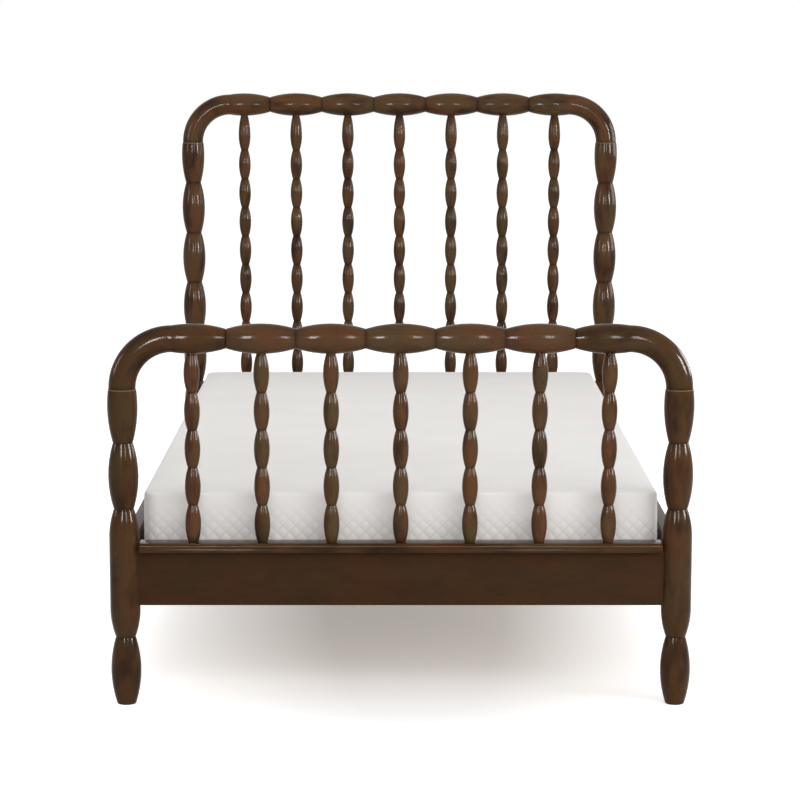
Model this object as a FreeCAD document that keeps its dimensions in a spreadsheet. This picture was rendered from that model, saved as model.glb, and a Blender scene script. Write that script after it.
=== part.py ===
import FreeCAD, Part
import math
import os
import re
import Sketcher

# A single spindle bed: four turned posts, a headboard and a footboard of turned spindles under
# a beaded top rail, bent corner pieces that turn the posts into the rails, side rails with
# cleats, slats, and a mattress that lies on them.
#
# Frame: millimetres, +Z up, +Y from the foot to the head, +X to the right of somebody who
# stands at the foot and looks at the bed. The origin is on the floor under the bed's middle.

SIZES = {
    # The bed as a whole, between the centres of its posts
    "post_spacing": 1040.0,
    "bed_length": 1975.0,
    # Posts, from the floor up
    "post_dia": 57.0,
    "post_neck": 37.5,
    "toe_dia": 36.0,
    "toe_height": 129.4,
    "toe_swell": 66.0,
    "shaft_height": 244.6,
    "shaft_curve": 54.0,
    "post_bead_height": 125.4,
    "foot_bead_count": 1,
    "head_bead_count": 4,
    "top_bead_height": 101.4,
    "top_swell": 69.0,
    # Bent corner pieces and beaded top rails
    "bend_radius": 94.0,
    "rail_dia": 57.0,
    "rail_neck": 37.0,
    "joint_chamfer": 1.0,
    "dowel_dia": 16.0,
    "dowel_length": 60.0,
    # Spindles
    "spindle_dia": 30.0,
    "spindle_neck": 18.0,
    "foot_spindle_beads": 5,
    "head_spindle_beads": 10,
    "foot_top_stretch": 1.0,
    "head_top_stretch": 13.0,
    "upper_tenon": 22.0,
    "lower_tenon": 35.0,
    "lower_tenon_dia": 16.0,
    # Lower boards, moulded caps and side rails
    "board_thick": 25.0,
    "board_bottom": 191.5,
    "board_height": 103.5,
    "cap_thick": 15.0,
    "cap_depth": 57.0,
    "cap_ledge_width": 12.0,
    "cap_ledge_drop": 3.0,
    "cap_nose_height": 1.5,
    "cap_nose_round": 0.7,
    "cap_cove_depth": 2.5,
    "cap_fillet_height": 2.5,
    "side_rail_height": 109.5,
    "housing_depth": 8.0,
    "edge_round": 2.0,
    # Slats and the cleats that carry them
    "cleat_width": 20.0,
    "cleat_height": 30.0,
    "cleat_lift": 3.0,
    "slat_thick": 19.0,
    "slat_width": 70.0,
    "slat_inset": 127.5,
    "slat_end_gap": 3.0,
    "slat_round": 3.0,
    # Steel corner braces, their hanger bolts and the screws
    "brace_steel": 3.0,
    "brace_height": 50.0,
    "brace_reach": 45.0,
    "brace_flange": 32.0,
    "brace_lift": 32.0,
    "brace_bend": 4.0,
    "bolt_dia": 8.0,
    "bolt_length": 58.0,
    "bolt_start": 4.0,
    "washer_dia": 20.0,
    "washer_thick": 1.6,
    "nut_width": 13.0,
    "nut_height": 6.5,
    "screw_dia": 4.0,
    "screw_head": 8.0,
    "screw_head_height": 2.6,
    "brace_screw_length": 16.0,
    "wood_screw_length": 30.0,
    # Mattress
    "mattress_height": 156.5,
    "mattress_side_gap": 25.0,
    "mattress_end_gap": 22.5,
    "mattress_corner": 28.0,
    "mattress_crown": 5.0,
    "mattress_crown_inset": 132.0,
    "mattress_edge": 16.0,
    "mattress_waist": 4.0,
    # Clearances
    "glue_gap": 0.1,
    "end_gap": 0.5,
    "rest_gap": 0.3,
}

SPINDLES = 7                   # in each board, one under every swelling of the top rail
BAYS = SPINDLES + 1            # equal spaces between the post centres
RAIL_BEADS = BAYS - 3          # the corner pieces carry the other swellings
SLATS = 13
CLEAT_SCREWS = 7               # along each cleat
CUT_OVER = 5.0                 # how far a cut runs out into the air
FLANGE_SCREW_SHARE = 0.6       # where a brace's screws are along its flanges
CLEAT_SCREW_SHARE = 0.3        # how far up a cleat its screws are, clear of the slats' screws
MATTRESS_EDGE_STEPS = 3        # sections that round each edge of the mattress
QUARTER_TURN = 90.0
HALF_TURN = 180.0
CLOSE = 1e-6                   # two lengths nearer than this are the same

doc = FreeCAD.newDocument("SpindleBed")
sheet = doc.addObject("Spreadsheet::Sheet", "Sizes")
for row, (alias, number) in enumerate(SIZES.items(), start=1):
    sheet.set(f"A{row}", alias.replace("_", " "))
    sheet.set(f"B{row}", str(number))
    sheet.setAlias(f"B{row}", alias)
doc.recompute()

# Sizes that follow from the driving ones, as text that the sheet can work out
BAY = f"post_spacing / {BAYS}"
SHAFT_TOP = "(toe_height + shaft_height)"
FOOT_JOINT = f"({SHAFT_TOP} + post_bead_height * foot_bead_count + top_bead_height)"
HEAD_JOINT = f"({SHAFT_TOP} + post_bead_height * head_bead_count + top_bead_height)"
BOARD_TOP = "(board_bottom + board_height)"
CAP_TOP = f"({BOARD_TOP} + cap_thick)"
SLAT_BOTTOM = "(board_bottom + cleat_lift + cleat_height)"
SLAT_TOP = f"({SLAT_BOTTOM} + slat_thick)"
BRACE_MIDDLE = "(board_bottom + brace_lift)"
WEB_CORNER = f"(brace_reach * {math.sqrt(2)} - board_thick / 2)"
BEND_SHARE = math.sqrt(2) - 1  # how much a 45 degree bend shifts the far side of the steel


def bind(text):
    """Turn size names into references to the sheet's cells."""
    return re.sub(r"\b[a-z]+(_[a-z]+)+\b", lambda found: "Sizes." + found.group(0), text)


def value(text):
    """Work out an expression of sizes as a number."""
    return float(sheet.evalExpression(text))


def swell_radius(length, rise):
    """Radius of the arc that rises by rise over length and is level there."""
    return f"((({length})^2 + ({rise})^2) / (2 * ({rise})))"


def put(feature, **settings):
    """Set a feature's sizes from expressions; dots in a name are written as two underscores."""
    for name, text in settings.items():
        feature.setExpression(name.replace("__", "."), bind(text))


def place(thing, x="0", y="0", z="0", turn=0.0, axis=FreeCAD.Vector(0, 0, 1)):
    """Place a piece or a cut, with its position bound to the sheet."""
    base = FreeCAD.Vector(value(x), value(y), value(z))
    thing.Placement = FreeCAD.Placement(base, FreeCAD.Rotation(axis, turn))
    for letter, text in zip("xyz", (x, y, z)):
        if text != "0":
            thing.setExpression(f"Placement.Base.{letter}", bind(text))


def new_body(name):
    """Start a piece that grows feature by feature."""
    body = doc.addObject("PartDesign::Body", name)
    body.Label = name
    return body


def origin_feature(body, role):
    """One of the body's own origin planes or axes."""
    return next(item for item in body.Origin.OriginFeatures if item.Role == role)


def new_sketch(body, name, plane, lift=None):
    """Start a sketch on one of the body's origin planes, raised along its normal by lift."""
    sketch = body.newObject("Sketcher::SketchObject", name)
    sketch.AttachmentSupport = (origin_feature(body, plane), [""])
    sketch.MapMode = "FlatFace"
    if lift is not None:
        sketch.AttachmentOffset = FreeCAD.Placement(
            FreeCAD.Vector(0, 0, value(lift)), FreeCAD.Rotation())
        sketch.setExpression("AttachmentOffset.Base.z", bind(lift))
    return sketch


def pin_point(sketch, geometry, point, x, y):
    """Hold one point of a sketch at (x, y), both given as expressions."""
    for kind, axis, text in (("DistanceX", -2, x), ("DistanceY", -1, y)):
        if abs(value(text)) < CLOSE:
            sketch.addConstraint(Sketcher.Constraint("PointOnObject", geometry, point, axis))
            continue
        index = sketch.addConstraint(
            Sketcher.Constraint(kind, -1, 1, geometry, point, value(text)))
        sketch.setExpression(f"Constraints[{index}]", bind(text))


def arc_middle(start, end, radius, side):
    """The point half way along an arc that bulges to the left (1) or right (-1) of its chord."""
    chord = end - start
    sagitta = radius - math.sqrt(radius ** 2 - (chord.Length / 2) ** 2)
    normal = FreeCAD.Vector(-chord.y, chord.x, 0).normalize()
    return (start + end) / 2 + normal * sagitta * side


def draw_outline(sketch, points):
    """Draw a closed outline. A point is (x, y), or (x, y, radius, side) to start an arc."""
    spots = [FreeCAD.Vector(value(point[0]), value(point[1]), 0) for point in points]
    for index, point in enumerate(points):
        start, end = spots[index], spots[(index + 1) % len(points)]
        if len(point) == 2:
            sketch.addGeometry(Part.LineSegment(start, end), False)
            pin_point(sketch, index, 1, point[0], point[1])
            continue
        middle = arc_middle(start, end, value(point[2]), point[3])
        sketch.addGeometry(Part.Arc(start, middle, end), False)
        first = 1 if sketch.getPoint(index, 1).distanceToPoint(start) < CLOSE else 2
        pin_point(sketch, index, first, point[0], point[1])
        size = sketch.addConstraint(Sketcher.Constraint("Radius", index, value(point[2])))
        sketch.setExpression(f"Constraints[{size}]", bind(point[2]))
    for index, spot in enumerate(spots):
        before = (index - 1) % len(points)
        ends = [1 if sketch.getPoint(geometry, 1).distanceToPoint(spot) < CLOSE else 2
                for geometry in (before, index)]
        sketch.addConstraint(
            Sketcher.Constraint("Coincident", before, ends[0], index, ends[1]))


def revolve(body, name, points, axis, plane="XZ_Plane"):
    """Add a turned form from a half outline."""
    sketch = new_sketch(body, name + "_outline", plane)
    draw_outline(sketch, points)
    feature = body.newObject("PartDesign::Revolution", name)
    feature.Profile = sketch
    feature.ReferenceAxis = (sketch, [axis])
    feature.Angle = 2 * HALF_TURN
    doc.recompute()
    return feature


def repeat(body, name, original, role, length, count):
    """Repeat a feature along one of the body's axes."""
    pattern = body.newObject("PartDesign::LinearPattern", name)
    pattern.Originals = [original]
    pattern.Direction = (origin_feature(body, role), [""])
    pattern.Length = value(length)
    pattern.Occurrences = int(value(count))
    put(pattern, Length=length)
    if count in SIZES:
        put(pattern, Occurrences=count)
    body.Tip = pattern
    doc.recompute()
    return pattern


def bore(body, name, radius, depth, x="0", y="0", z="0", turn=0.0, axis=FreeCAD.Vector(0, 0, 1)):
    """Cut a round hole that starts at a point and runs along the turned +Z."""
    cut = body.newObject("PartDesign::SubtractiveCylinder", name)
    put(cut, Radius=radius, Height=depth)
    place(cut, x, y, z, turn, axis)
    doc.recompute()
    return cut


def block_cut(body, name, size, corner):
    """Cut a rectangular housing, given its size and its lowest corner."""
    cut = body.newObject("PartDesign::SubtractiveBox", name)
    put(cut, Length=size[0], Width=size[1], Height=size[2])
    place(cut, *corner)
    doc.recompute()
    return cut


def edges_where(feature, test):
    """Names of the feature's edges that pass a test."""
    return [f"Edge{index}" for index, edge in enumerate(feature.Shape.Edges, start=1)
            if test(edge)]


def runs_along_x(edge):
    """Tell whether a straight edge runs along X."""
    return edge.Length - edge.BoundBox.XLength < CLOSE


def dress(body, kind, name, base, edges, size):
    """Round or chamfer some edges of a feature."""
    feature = body.newObject("PartDesign::" + kind, name)
    feature.Base = (base, edges)
    put(feature, **{"Radius" if kind == "Fillet" else "Size": size})
    doc.recompute()
    return feature


# Posts ---------------------------------------------------------------------------------------

BEAD_RISE = "(post_dia - post_neck) / 2"
DOWN = dict(turn=HALF_TURN, axis=FreeCAD.Vector(1, 0, 0))


def post_outline():
    """Half outline of a post's toe and long shaft, from the floor to the shaft's upper neck."""
    toe_rise = "(post_dia - toe_dia) / 2"
    shaft_radius = swell_radius("shaft_curve", BEAD_RISE)
    return [
        ("0", "0"),
        ("toe_dia / 2", "0", swell_radius("toe_swell", toe_rise), -1),
        ("post_dia / 2", "toe_swell", swell_radius("toe_height - toe_swell", BEAD_RISE), -1),
        ("post_neck / 2", "toe_height", shaft_radius, -1),
        ("post_dia / 2", "toe_height + shaft_curve"),
        ("post_dia / 2", f"{SHAFT_TOP} - shaft_curve", shaft_radius, -1),
        ("post_neck / 2", SHAFT_TOP),
        ("0", SHAFT_TOP),
    ]


def bead_outline(start):
    """Half outline of one bead of a post."""
    return [
        ("0", start),
        ("post_neck / 2", start, swell_radius("post_bead_height / 2", BEAD_RISE), -1),
        ("post_neck / 2", f"{start} + post_bead_height"),
        ("0", f"{start} + post_bead_height"),
    ]


def top_bead_outline(start):
    """Half outline of the last bead, which stops short at the joint with the corner piece."""
    arc = swell_radius("top_swell", BEAD_RISE)
    rim = f"(post_dia / 2 - {arc} + sqrt({arc}^2 - (top_bead_height - joint_chamfer - top_swell)^2))"
    return [
        ("0", start),
        ("post_neck / 2", start, arc, -1),
        (rim, f"{start} + top_bead_height - joint_chamfer"),
        (f"{rim} - joint_chamfer", f"{start} + top_bead_height"),
        ("0", f"{start} + top_bead_height"),
    ]


def make_post(name, x, y, turn, bead_count, side_rail_on_x):
    """A turned post. Its local +X and +Y point at the two rails that are housed in it."""
    body = new_body(name)
    revolve(body, name + "_toe_and_shaft", post_outline(), "V_Axis")
    bead = revolve(body, name + "_bead", bead_outline(SHAFT_TOP), "V_Axis")
    if int(value(bead_count)) > 1:
        repeat(body, name + "_beads", bead, "Z_Axis", f"post_bead_height * ({bead_count} - 1)", bead_count)
    top_start = f"({SHAFT_TOP} + post_bead_height * {bead_count})"
    revolve(body, name + "_top_bead", top_bead_outline(top_start), "V_Axis")
    bore(body, name + "_dowel_bore", "dowel_dia / 2 + glue_gap",
         f"dowel_length / 2 + end_gap + {CUT_OVER}",
         z=f"{top_start} + top_bead_height + {CUT_OVER}", **DOWN)
    tops = (BOARD_TOP, "(board_bottom + side_rail_height)")
    along_x, along_y = reversed(tops) if side_rail_on_x else tops
    depth, width = f"housing_depth + {CUT_OVER}", "board_thick + 2 * glue_gap"
    low, edge = "board_bottom - glue_gap", "post_dia / 2 - housing_depth"
    block_cut(body, name + "_housing_x",
              (depth, width, f"{along_x} - board_bottom + 2 * glue_gap"),
              (edge, "-board_thick / 2 - glue_gap", low))
    block_cut(body, name + "_housing_y",
              (width, depth, f"{along_y} - board_bottom + 2 * glue_gap"),
              ("-board_thick / 2 - glue_gap", edge, low))
    diagonal = f"(bolt_start - end_gap) / {math.sqrt(2)}"
    bore(body, name + "_bolt_bore", "bolt_dia / 2 + glue_gap", "post_dia",
         diagonal, diagonal, BRACE_MIDDLE, turn=QUARTER_TURN, axis=FreeCAD.Vector(-1, 1, 0))
    place(body, x, y, "0", turn)
    return body


# Corner pieces and top rails -----------------------------------------------------------------

RAIL_RISE = "(rail_dia - rail_neck) / 2"
RAIL_ARC = swell_radius(f"{BAY} / 2", RAIL_RISE)
COLLAR = f"(rail_dia / 2 - {RAIL_ARC} + sqrt({RAIL_ARC}^2 - ({BAY} - bend_radius)^2))"


def make_corner(name, x, y, z, turn):
    """A bent piece from a post's top, round a quarter turn, to the neck where the rail starts."""
    body = new_body(name)
    ring = new_sketch(body, name + "_ring", "XY_Plane")
    ring.addGeometry(Part.Circle(FreeCAD.Vector(), FreeCAD.Vector(0, 0, 1), value(COLLAR)), False)
    ring.addConstraint(Sketcher.Constraint("Coincident", 0, 3, -1, 1))
    ring.addConstraint(Sketcher.Constraint("Diameter", 0, 2 * value(COLLAR)))
    ring.setExpression("Constraints[1]", bind(f"2 * {COLLAR}"))
    reach = value("bend_radius")
    ring.addGeometry(Part.LineSegment(FreeCAD.Vector(reach, 0, 0),
                                      FreeCAD.Vector(reach, value(COLLAR), 0)), True)
    pin_point(ring, 1, 1, "bend_radius", "0")
    ring.addConstraint(Sketcher.Constraint("Vertical", 1))
    bend = body.newObject("PartDesign::Revolution", name + "_bend")
    bend.Profile = ring
    bend.ReferenceAxis = (ring, ["Axis0"])
    bend.Angle = QUARTER_TURN
    doc.recompute()
    arm = new_sketch(body, name + "_arm_outline", "XZ_Plane")
    tip = f"1.5 * {BAY}"
    chamfer_foot = f"{tip} - joint_chamfer"
    draw_outline(arm, [
        ("bend_radius", "bend_radius"),
        ("bend_radius", f"bend_radius + {COLLAR}", RAIL_ARC, 1),
        (chamfer_foot, "bend_radius + rail_neck / 2"),
        (tip, "bend_radius + rail_neck / 2 - joint_chamfer"),
        (tip, "bend_radius"),
    ])
    swelling = body.newObject("PartDesign::Revolution", name + "_arm")
    swelling.Profile = arm
    swelling.ReferenceAxis = (arm, ["Edge5"])
    swelling.Angle = 2 * HALF_TURN
    doc.recompute()
    rim = edges_where(swelling, lambda edge: max(abs(v.Z) for v in edge.Vertexes) < CLOSE)
    dress(body, "Chamfer", name + "_rim", swelling, rim, "joint_chamfer")
    deep = f"dowel_length / 2 + end_gap + {CUT_OVER}"
    bore(body, name + "_post_dowel_bore", "dowel_dia / 2 + glue_gap", deep, z=f"-{CUT_OVER}")
    bore(body, name + "_rail_dowel_bore", "dowel_dia / 2 + glue_gap", deep,
         x=f"{tip} + {CUT_OVER}", z="bend_radius", turn=-QUARTER_TURN, axis=FreeCAD.Vector(0, 1, 0))
    bore(body, name + "_spindle_bore", "spindle_neck / 2 + glue_gap",
         f"upper_tenon + end_gap + {CUT_OVER}",
         x=BAY, z=f"bend_radius - rail_dia / 2 - {CUT_OVER}")
    place(body, x, y, z, turn)
    return body


def make_top_rail(name, y, z):
    """A straight rail of turned beads, bored from below for the spindles."""
    body = new_body(name)
    half = f"({RAIL_BEADS} / 2 * {BAY})"
    bead = revolve(body, name + "_bead", [
        (f"-{half}", "0"),
        (f"-{half}", "rail_neck / 2", RAIL_ARC, 1),
        (f"-{half} + {BAY}", "rail_neck / 2"),
        (f"-{half} + {BAY}", "0"),
    ], "H_Axis")
    beads = repeat(body, name + "_beads", bead, "X_Axis",
                   f"{RAIL_BEADS - 1} * {BAY}", str(RAIL_BEADS))
    limit = value(half) - CLOSE
    rims = edges_where(beads, lambda edge: min(abs(v.X) for v in edge.Vertexes) > limit)
    dress(body, "Chamfer", name + "_rims", beads, rims, "joint_chamfer")
    deep = f"dowel_length / 2 + end_gap + {CUT_OVER}"
    for side, turn in (("left", QUARTER_TURN), ("right", -QUARTER_TURN)):
        start = f"-{half} - {CUT_OVER}" if side == "left" else f"{half} + {CUT_OVER}"
        bore(body, f"{name}_{side}_dowel_bore", "dowel_dia / 2 + glue_gap", deep,
             x=start, turn=turn, axis=FreeCAD.Vector(0, 1, 0))
    first = bore(body, name + "_spindle_bore", "spindle_neck / 2 + glue_gap",
                 f"upper_tenon + end_gap + {CUT_OVER}",
                 x=f"-{(RAIL_BEADS - 1) // 2} * {BAY}", z=f"-rail_dia / 2 - {CUT_OVER}")
    repeat(body, name + "_spindle_bores", first, "X_Axis",
           f"{RAIL_BEADS - 1} * {BAY}", str(RAIL_BEADS))
    place(body, "0", y, z)
    return body


# Spindles ------------------------------------------------------------------------------------

def make_spindle(name, x, y, rail_underside, bead_count, stretch):
    """A turned spindle: round tenons and a row of beads, the topmost drawn out up to the rail."""
    body = new_body(name)
    length = f"({rail_underside} - {CAP_TOP})"
    bead = f"(({length} - {stretch}) / {bead_count})"
    rise = "(spindle_dia - spindle_neck) / 2"
    bead_arc = swell_radius(f"{bead} / 2", rise)
    first = revolve(body, name + "_bead", [
        ("0", "0"),
        ("spindle_neck / 2", "0", bead_arc, -1),
        ("spindle_neck / 2", bead),
        ("0", bead),
    ], "V_Axis")
    repeat(body, name + "_beads", first, "Z_Axis", f"{bead} * ({bead_count} - 2)",
           f"({bead_count} - 1)")
    top = f"({bead} * ({bead_count} - 1))"
    revolve(body, name + "_top_bead", [
        ("0", top),
        ("spindle_neck / 2", top, bead_arc, -1),
        ("spindle_dia / 2", f"{top} + {bead} / 2",
         swell_radius(f"{bead} / 2 + {stretch}", rise), -1),
        ("spindle_neck / 2", length),
        ("0", length),
    ], "V_Axis")
    for label, radius, height, start in (
            ("upper_tenon", "spindle_neck / 2", "upper_tenon", length),
            ("lower_tenon", "lower_tenon_dia / 2", "lower_tenon", "-lower_tenon")):
        end = body.newObject("PartDesign::AdditiveCylinder", f"{name}_{label}")
        put(end, Radius=radius, Height=height)
        place(end, z=start)
    doc.recompute()
    place(body, x, y, CAP_TOP)
    return body


# Lower boards, caps and side rails -----------------------------------------------------------

def make_plank(name, length, height):
    """A plank on edge, lengthwise along X and standing on its own origin, with eased edges."""
    body = new_body(name)
    outline = new_sketch(body, name + "_outline", "XZ_Plane")
    draw_outline(outline, [
        (f"-({length}) / 2", "0"), (f"({length}) / 2", "0"),
        (f"({length}) / 2", height), (f"-({length}) / 2", height),
    ])
    pad = body.newObject("PartDesign::Pad", name + "_plank")
    pad.Profile = outline
    pad.Midplane = True
    put(pad, Length="board_thick")
    doc.recompute()
    long_edges = edges_where(pad, runs_along_x)
    dress(body, "Fillet", name + "_eased", pad, long_edges, "edge_round")
    return body


def screw_holes(body, name, x):
    """Two pairs of blind holes for brace screws in a plank's inner face, at x and at -x."""
    for side in (-1, 1):
        for level in (-1, 1):
            bore(body, f"{name}_screw_hole_{side + 2}{level + 2}", "screw_dia / 2 + glue_gap",
                 f"brace_screw_length - brace_steel + end_gap + {CUT_OVER}",
                 x=f"{side} * ({x})", y=f"board_thick / 2 + {CUT_OVER}",
                 z=f"brace_lift + {level} * brace_height / 4",
                 turn=QUARTER_TURN, axis=FreeCAD.Vector(1, 0, 0))


FLANGE_MIDDLE = f"({WEB_CORNER} + brace_flange * {FLANGE_SCREW_SHARE})"


def make_lower_board(name, y, turn):
    """The broad board under the spindles, housed in both posts. Its local +Y is the bed side."""
    length = "post_spacing - post_dia + 2 * housing_depth - 2 * glue_gap"
    body = make_plank(name, length, "board_height")
    screw_holes(body, name, f"post_spacing / 2 - {FLANGE_MIDDLE}")
    first = bore(body, name + "_spindle_bore", "lower_tenon_dia / 2 + glue_gap",
                 f"lower_tenon - cap_thick + end_gap + {CUT_OVER}",
                 x=f"-{SPINDLES // 2} * {BAY}", z=f"board_height + {CUT_OVER}", **DOWN)
    repeat(body, name + "_spindle_bores", first, "X_Axis",
           f"{SPINDLES - 1} * {BAY}", str(SPINDLES))
    place(body, "0", y, "board_bottom", turn)
    return body


def make_cap(name, y, turn):
    """The cap between the spindles and the board: a ledge, a nose, a cove and a fillet outside."""
    body = new_body(name)
    section = new_sketch(body, name + "_section", "YZ_Plane")
    ledge = "cap_thick - cap_ledge_drop"
    cove_top = f"{ledge} - cap_nose_height"
    cove_arc = swell_radius(f"({cove_top} - cap_fillet_height) / 2", "cap_cove_depth")
    draw_outline(section, [
        ("cap_depth / 2", "0"),
        ("cap_depth / 2", "cap_thick"),
        ("cap_ledge_width - cap_depth / 2", "cap_thick"),
        ("cap_ledge_width - cap_depth / 2", ledge),
        ("-cap_depth / 2", ledge),
        ("-cap_depth / 2", cove_top, cove_arc, 1),
        ("-cap_depth / 2", "cap_fillet_height"),
        ("-cap_depth / 2", "0"),
    ])
    pad = body.newObject("PartDesign::Pad", name + "_moulding")
    pad.Profile = section
    pad.Midplane = True
    put(pad, Length="post_spacing - post_dia - 2 * glue_gap")
    doc.recompute()
    nose = FreeCAD.Vector(0, -value("cap_depth") / 2, value(ledge))
    arris = edges_where(pad, lambda edge: runs_along_x(edge) and
                        edge.distToShape(Part.Vertex(nose))[0] < CLOSE)
    dress(body, "Fillet", name + "_nose", pad, arris, "cap_nose_round")
    hole = body.newObject("PartDesign::SubtractiveCylinder", name + "_spindle_bore")
    put(hole, Radius="lower_tenon_dia / 2 + glue_gap", Height=f"cap_thick + {2 * CUT_OVER}")
    place(hole, x=f"-{SPINDLES // 2} * {BAY}", z=f"-{CUT_OVER}")
    doc.recompute()
    repeat(body, name + "_spindle_bores", hole, "X_Axis",
           f"{SPINDLES - 1} * {BAY}", str(SPINDLES))
    place(body, "0", y, BOARD_TOP, turn)
    return body


CLEAT_LENGTH = "(bed_length - 2 * slat_inset + slat_width)"
CLEAT_SCREW_STEP = f"(({CLEAT_LENGTH} - slat_width) / {CLEAT_SCREWS - 1})"
CLEAT_SCREW_LEVEL = f"(cleat_lift + cleat_height * {CLEAT_SCREW_SHARE})"


def make_side_rail(name, x, turn):
    """A side rail, housed in a foot post and a head post. Its local +Y is the bed side."""
    length = "bed_length - post_dia + 2 * housing_depth - 2 * glue_gap"
    body = make_plank(name, length, "side_rail_height")
    screw_holes(body, name, f"bed_length / 2 - {FLANGE_MIDDLE}")
    first = bore(body, name + "_cleat_screw_hole", "screw_dia / 2 + glue_gap",
                 f"wood_screw_length - cleat_width + end_gap + {CUT_OVER}",
                 x=f"-{(CLEAT_SCREWS - 1) // 2} * {CLEAT_SCREW_STEP}",
                 y=f"board_thick / 2 + {CUT_OVER}", z=CLEAT_SCREW_LEVEL,
                 turn=QUARTER_TURN, axis=FreeCAD.Vector(1, 0, 0))
    repeat(body, name + "_cleat_screw_holes", first, "X_Axis",
           f"{CLEAT_SCREWS - 1} * {CLEAT_SCREW_STEP}", str(CLEAT_SCREWS))
    place(body, x, "0", "board_bottom", turn)
    return body


# Cleats and slats ----------------------------------------------------------------------------

SLAT_STEP = f"((bed_length - 2 * slat_inset) / {SLATS - 1})"
CLEAT_MIDDLE = "(post_spacing / 2 - board_thick / 2 - cleat_width / 2)"


def screw_recess(name, x="0", y="0", z="0", turn=0.0, axis=FreeCAD.Vector(0, 0, 1)):
    """A clearance hole with a countersink for a wood screw whose head is at the given point."""
    pieces = []
    shank = doc.addObject("Part::Cylinder", name + "_shank_hole")
    put(shank, Radius="screw_dia / 2 + glue_gap", Height="wood_screw_length + end_gap")
    sink = doc.addObject("Part::Cone", name + "_countersink")
    put(sink, Radius1="screw_head / 2 + glue_gap", Radius2="screw_dia / 2 + glue_gap",
        Height="screw_head_height + glue_gap")
    for piece in (shank, sink):
        place(piece, x, y, z, turn, axis)
        pieces.append(piece)
    return pieces


def cut_holes(name, blank, holes):
    """Cut a set of holes out of a blank and give the result the piece's name."""
    tool = doc.addObject("Part::MultiFuse", name + "_holes")
    tool.Shapes = holes
    piece = doc.addObject("Part::Cut", name)
    piece.Base = blank
    piece.Tool = tool
    piece.Label = name
    return piece


def make_cleat(name, side):
    """A strip along the inside of a side rail, with countersunk screws through its face."""
    blank = doc.addObject("Part::Box", name + "_strip")
    put(blank, Length="cleat_width", Width=CLEAT_LENGTH, Height="cleat_height")
    place(blank, "-cleat_width / 2", f"-{CLEAT_LENGTH} / 2", "0")
    holes = []
    for index in range(CLEAT_SCREWS):
        step = index - (CLEAT_SCREWS - 1) // 2
        holes += screw_recess(
            f"{name}_{index + 1}", f"-{side} * cleat_width / 2", f"{step} * {CLEAT_SCREW_STEP}",
            f"{CLEAT_SCREW_LEVEL} - cleat_lift", side * QUARTER_TURN,
            FreeCAD.Vector(0, 1, 0))
    for index in range(SLATS):
        step = index - (SLATS - 1) // 2
        holes += screw_recess(f"{name}_slat_{index + 1}", "0", f"{step} * {SLAT_STEP}",
                              "cleat_height + slat_thick", **DOWN)
    piece = cut_holes(name, blank, holes)
    place(piece, f"{side} * {CLEAT_MIDDLE}", "0", "board_bottom + cleat_lift")
    return piece


def make_slat(name, step):
    """A slat across the bed, screwed to both cleats, with its long edges eased."""
    blank = doc.addObject("Part::Box", name + "_board")
    length = "post_spacing - board_thick - 2 * slat_end_gap"
    put(blank, Length=length, Width="slat_width", Height="slat_thick")
    place(blank, f"-({length}) / 2", "-slat_width / 2", "0")
    doc.recompute()
    eased = doc.addObject("Part::Fillet", name + "_eased")
    eased.Base = blank
    radius = value("slat_round")
    eased.Edges = [(index, radius, radius) for index, edge in enumerate(blank.Shape.Edges, start=1)
                   if runs_along_x(edge)]
    holes = []
    for side in (-1, 1):
        holes += screw_recess(f"{name}_screw_{side + 2}", f"{side} * {CLEAT_MIDDLE}", "0",
                              "slat_thick", **DOWN)
    piece = cut_holes(name, eased, holes)
    place(piece, "0", f"{step} * {SLAT_STEP}", SLAT_BOTTOM)
    return piece


# Corner braces and fasteners -----------------------------------------------------------------

def make_brace(name, x, y, turn):
    """A bent steel plate across the corner. Local +X and +Y run along the two rails."""
    body = new_body(name)
    face, far = "board_thick / 2", "(board_thick / 2 + brace_steel)"
    end = f"({WEB_CORNER} + brace_flange)"
    inside = f"({WEB_CORNER} + brace_steel * {BEND_SHARE})"
    outline = new_sketch(body, name + "_outline", "XY_Plane")
    draw_outline(outline, [
        (face, end), (face, WEB_CORNER), (WEB_CORNER, face), (end, face),
        (end, far), (inside, far), (far, inside), (far, end),
    ])
    plate = body.newObject("PartDesign::Pad", name + "_plate")
    plate.Profile = outline
    plate.Midplane = True
    put(plate, Length="brace_height")
    doc.recompute()
    limit = value(inside) + CLOSE
    folds = edges_where(plate, lambda edge: edge.BoundBox.ZLength > CLOSE and
                        max(edge.Vertexes[0].X, edge.Vertexes[0].Y) < limit)
    dress(body, "Fillet", name + "_folds", plate, folds, "brace_bend")
    diagonal = f"(brace_reach - {CUT_OVER}) / {math.sqrt(2)}"
    bore(body, name + "_bolt_hole", "bolt_dia / 2 + end_gap", f"brace_steel + {2 * CUT_OVER}",
         diagonal, diagonal, turn=QUARTER_TURN, axis=FreeCAD.Vector(-1, 1, 0))
    for level in (-1, 1):
        height = f"{level} * brace_height / 4"
        bore(body, f"{name}_rail_hole_{level + 2}", "screw_dia / 2 + glue_gap",
             f"brace_steel + {2 * CUT_OVER}", f"{face} - {CUT_OVER}", FLANGE_MIDDLE, height,
             turn=QUARTER_TURN, axis=FreeCAD.Vector(0, 1, 0))
        bore(body, f"{name}_board_hole_{level + 2}", "screw_dia / 2 + glue_gap",
             f"brace_steel + {2 * CUT_OVER}", FLANGE_MIDDLE, f"{face} - {CUT_OVER}", height,
             turn=-QUARTER_TURN, axis=FreeCAD.Vector(1, 0, 0))
    place(body, x, y, BRACE_MIDDLE, turn)
    return body


def solid(kind, name, **sizes):
    """One primitive with its sizes bound to the sheet."""
    piece = doc.addObject("Part::" + kind, name)
    put(piece, **sizes)
    return piece


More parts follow.
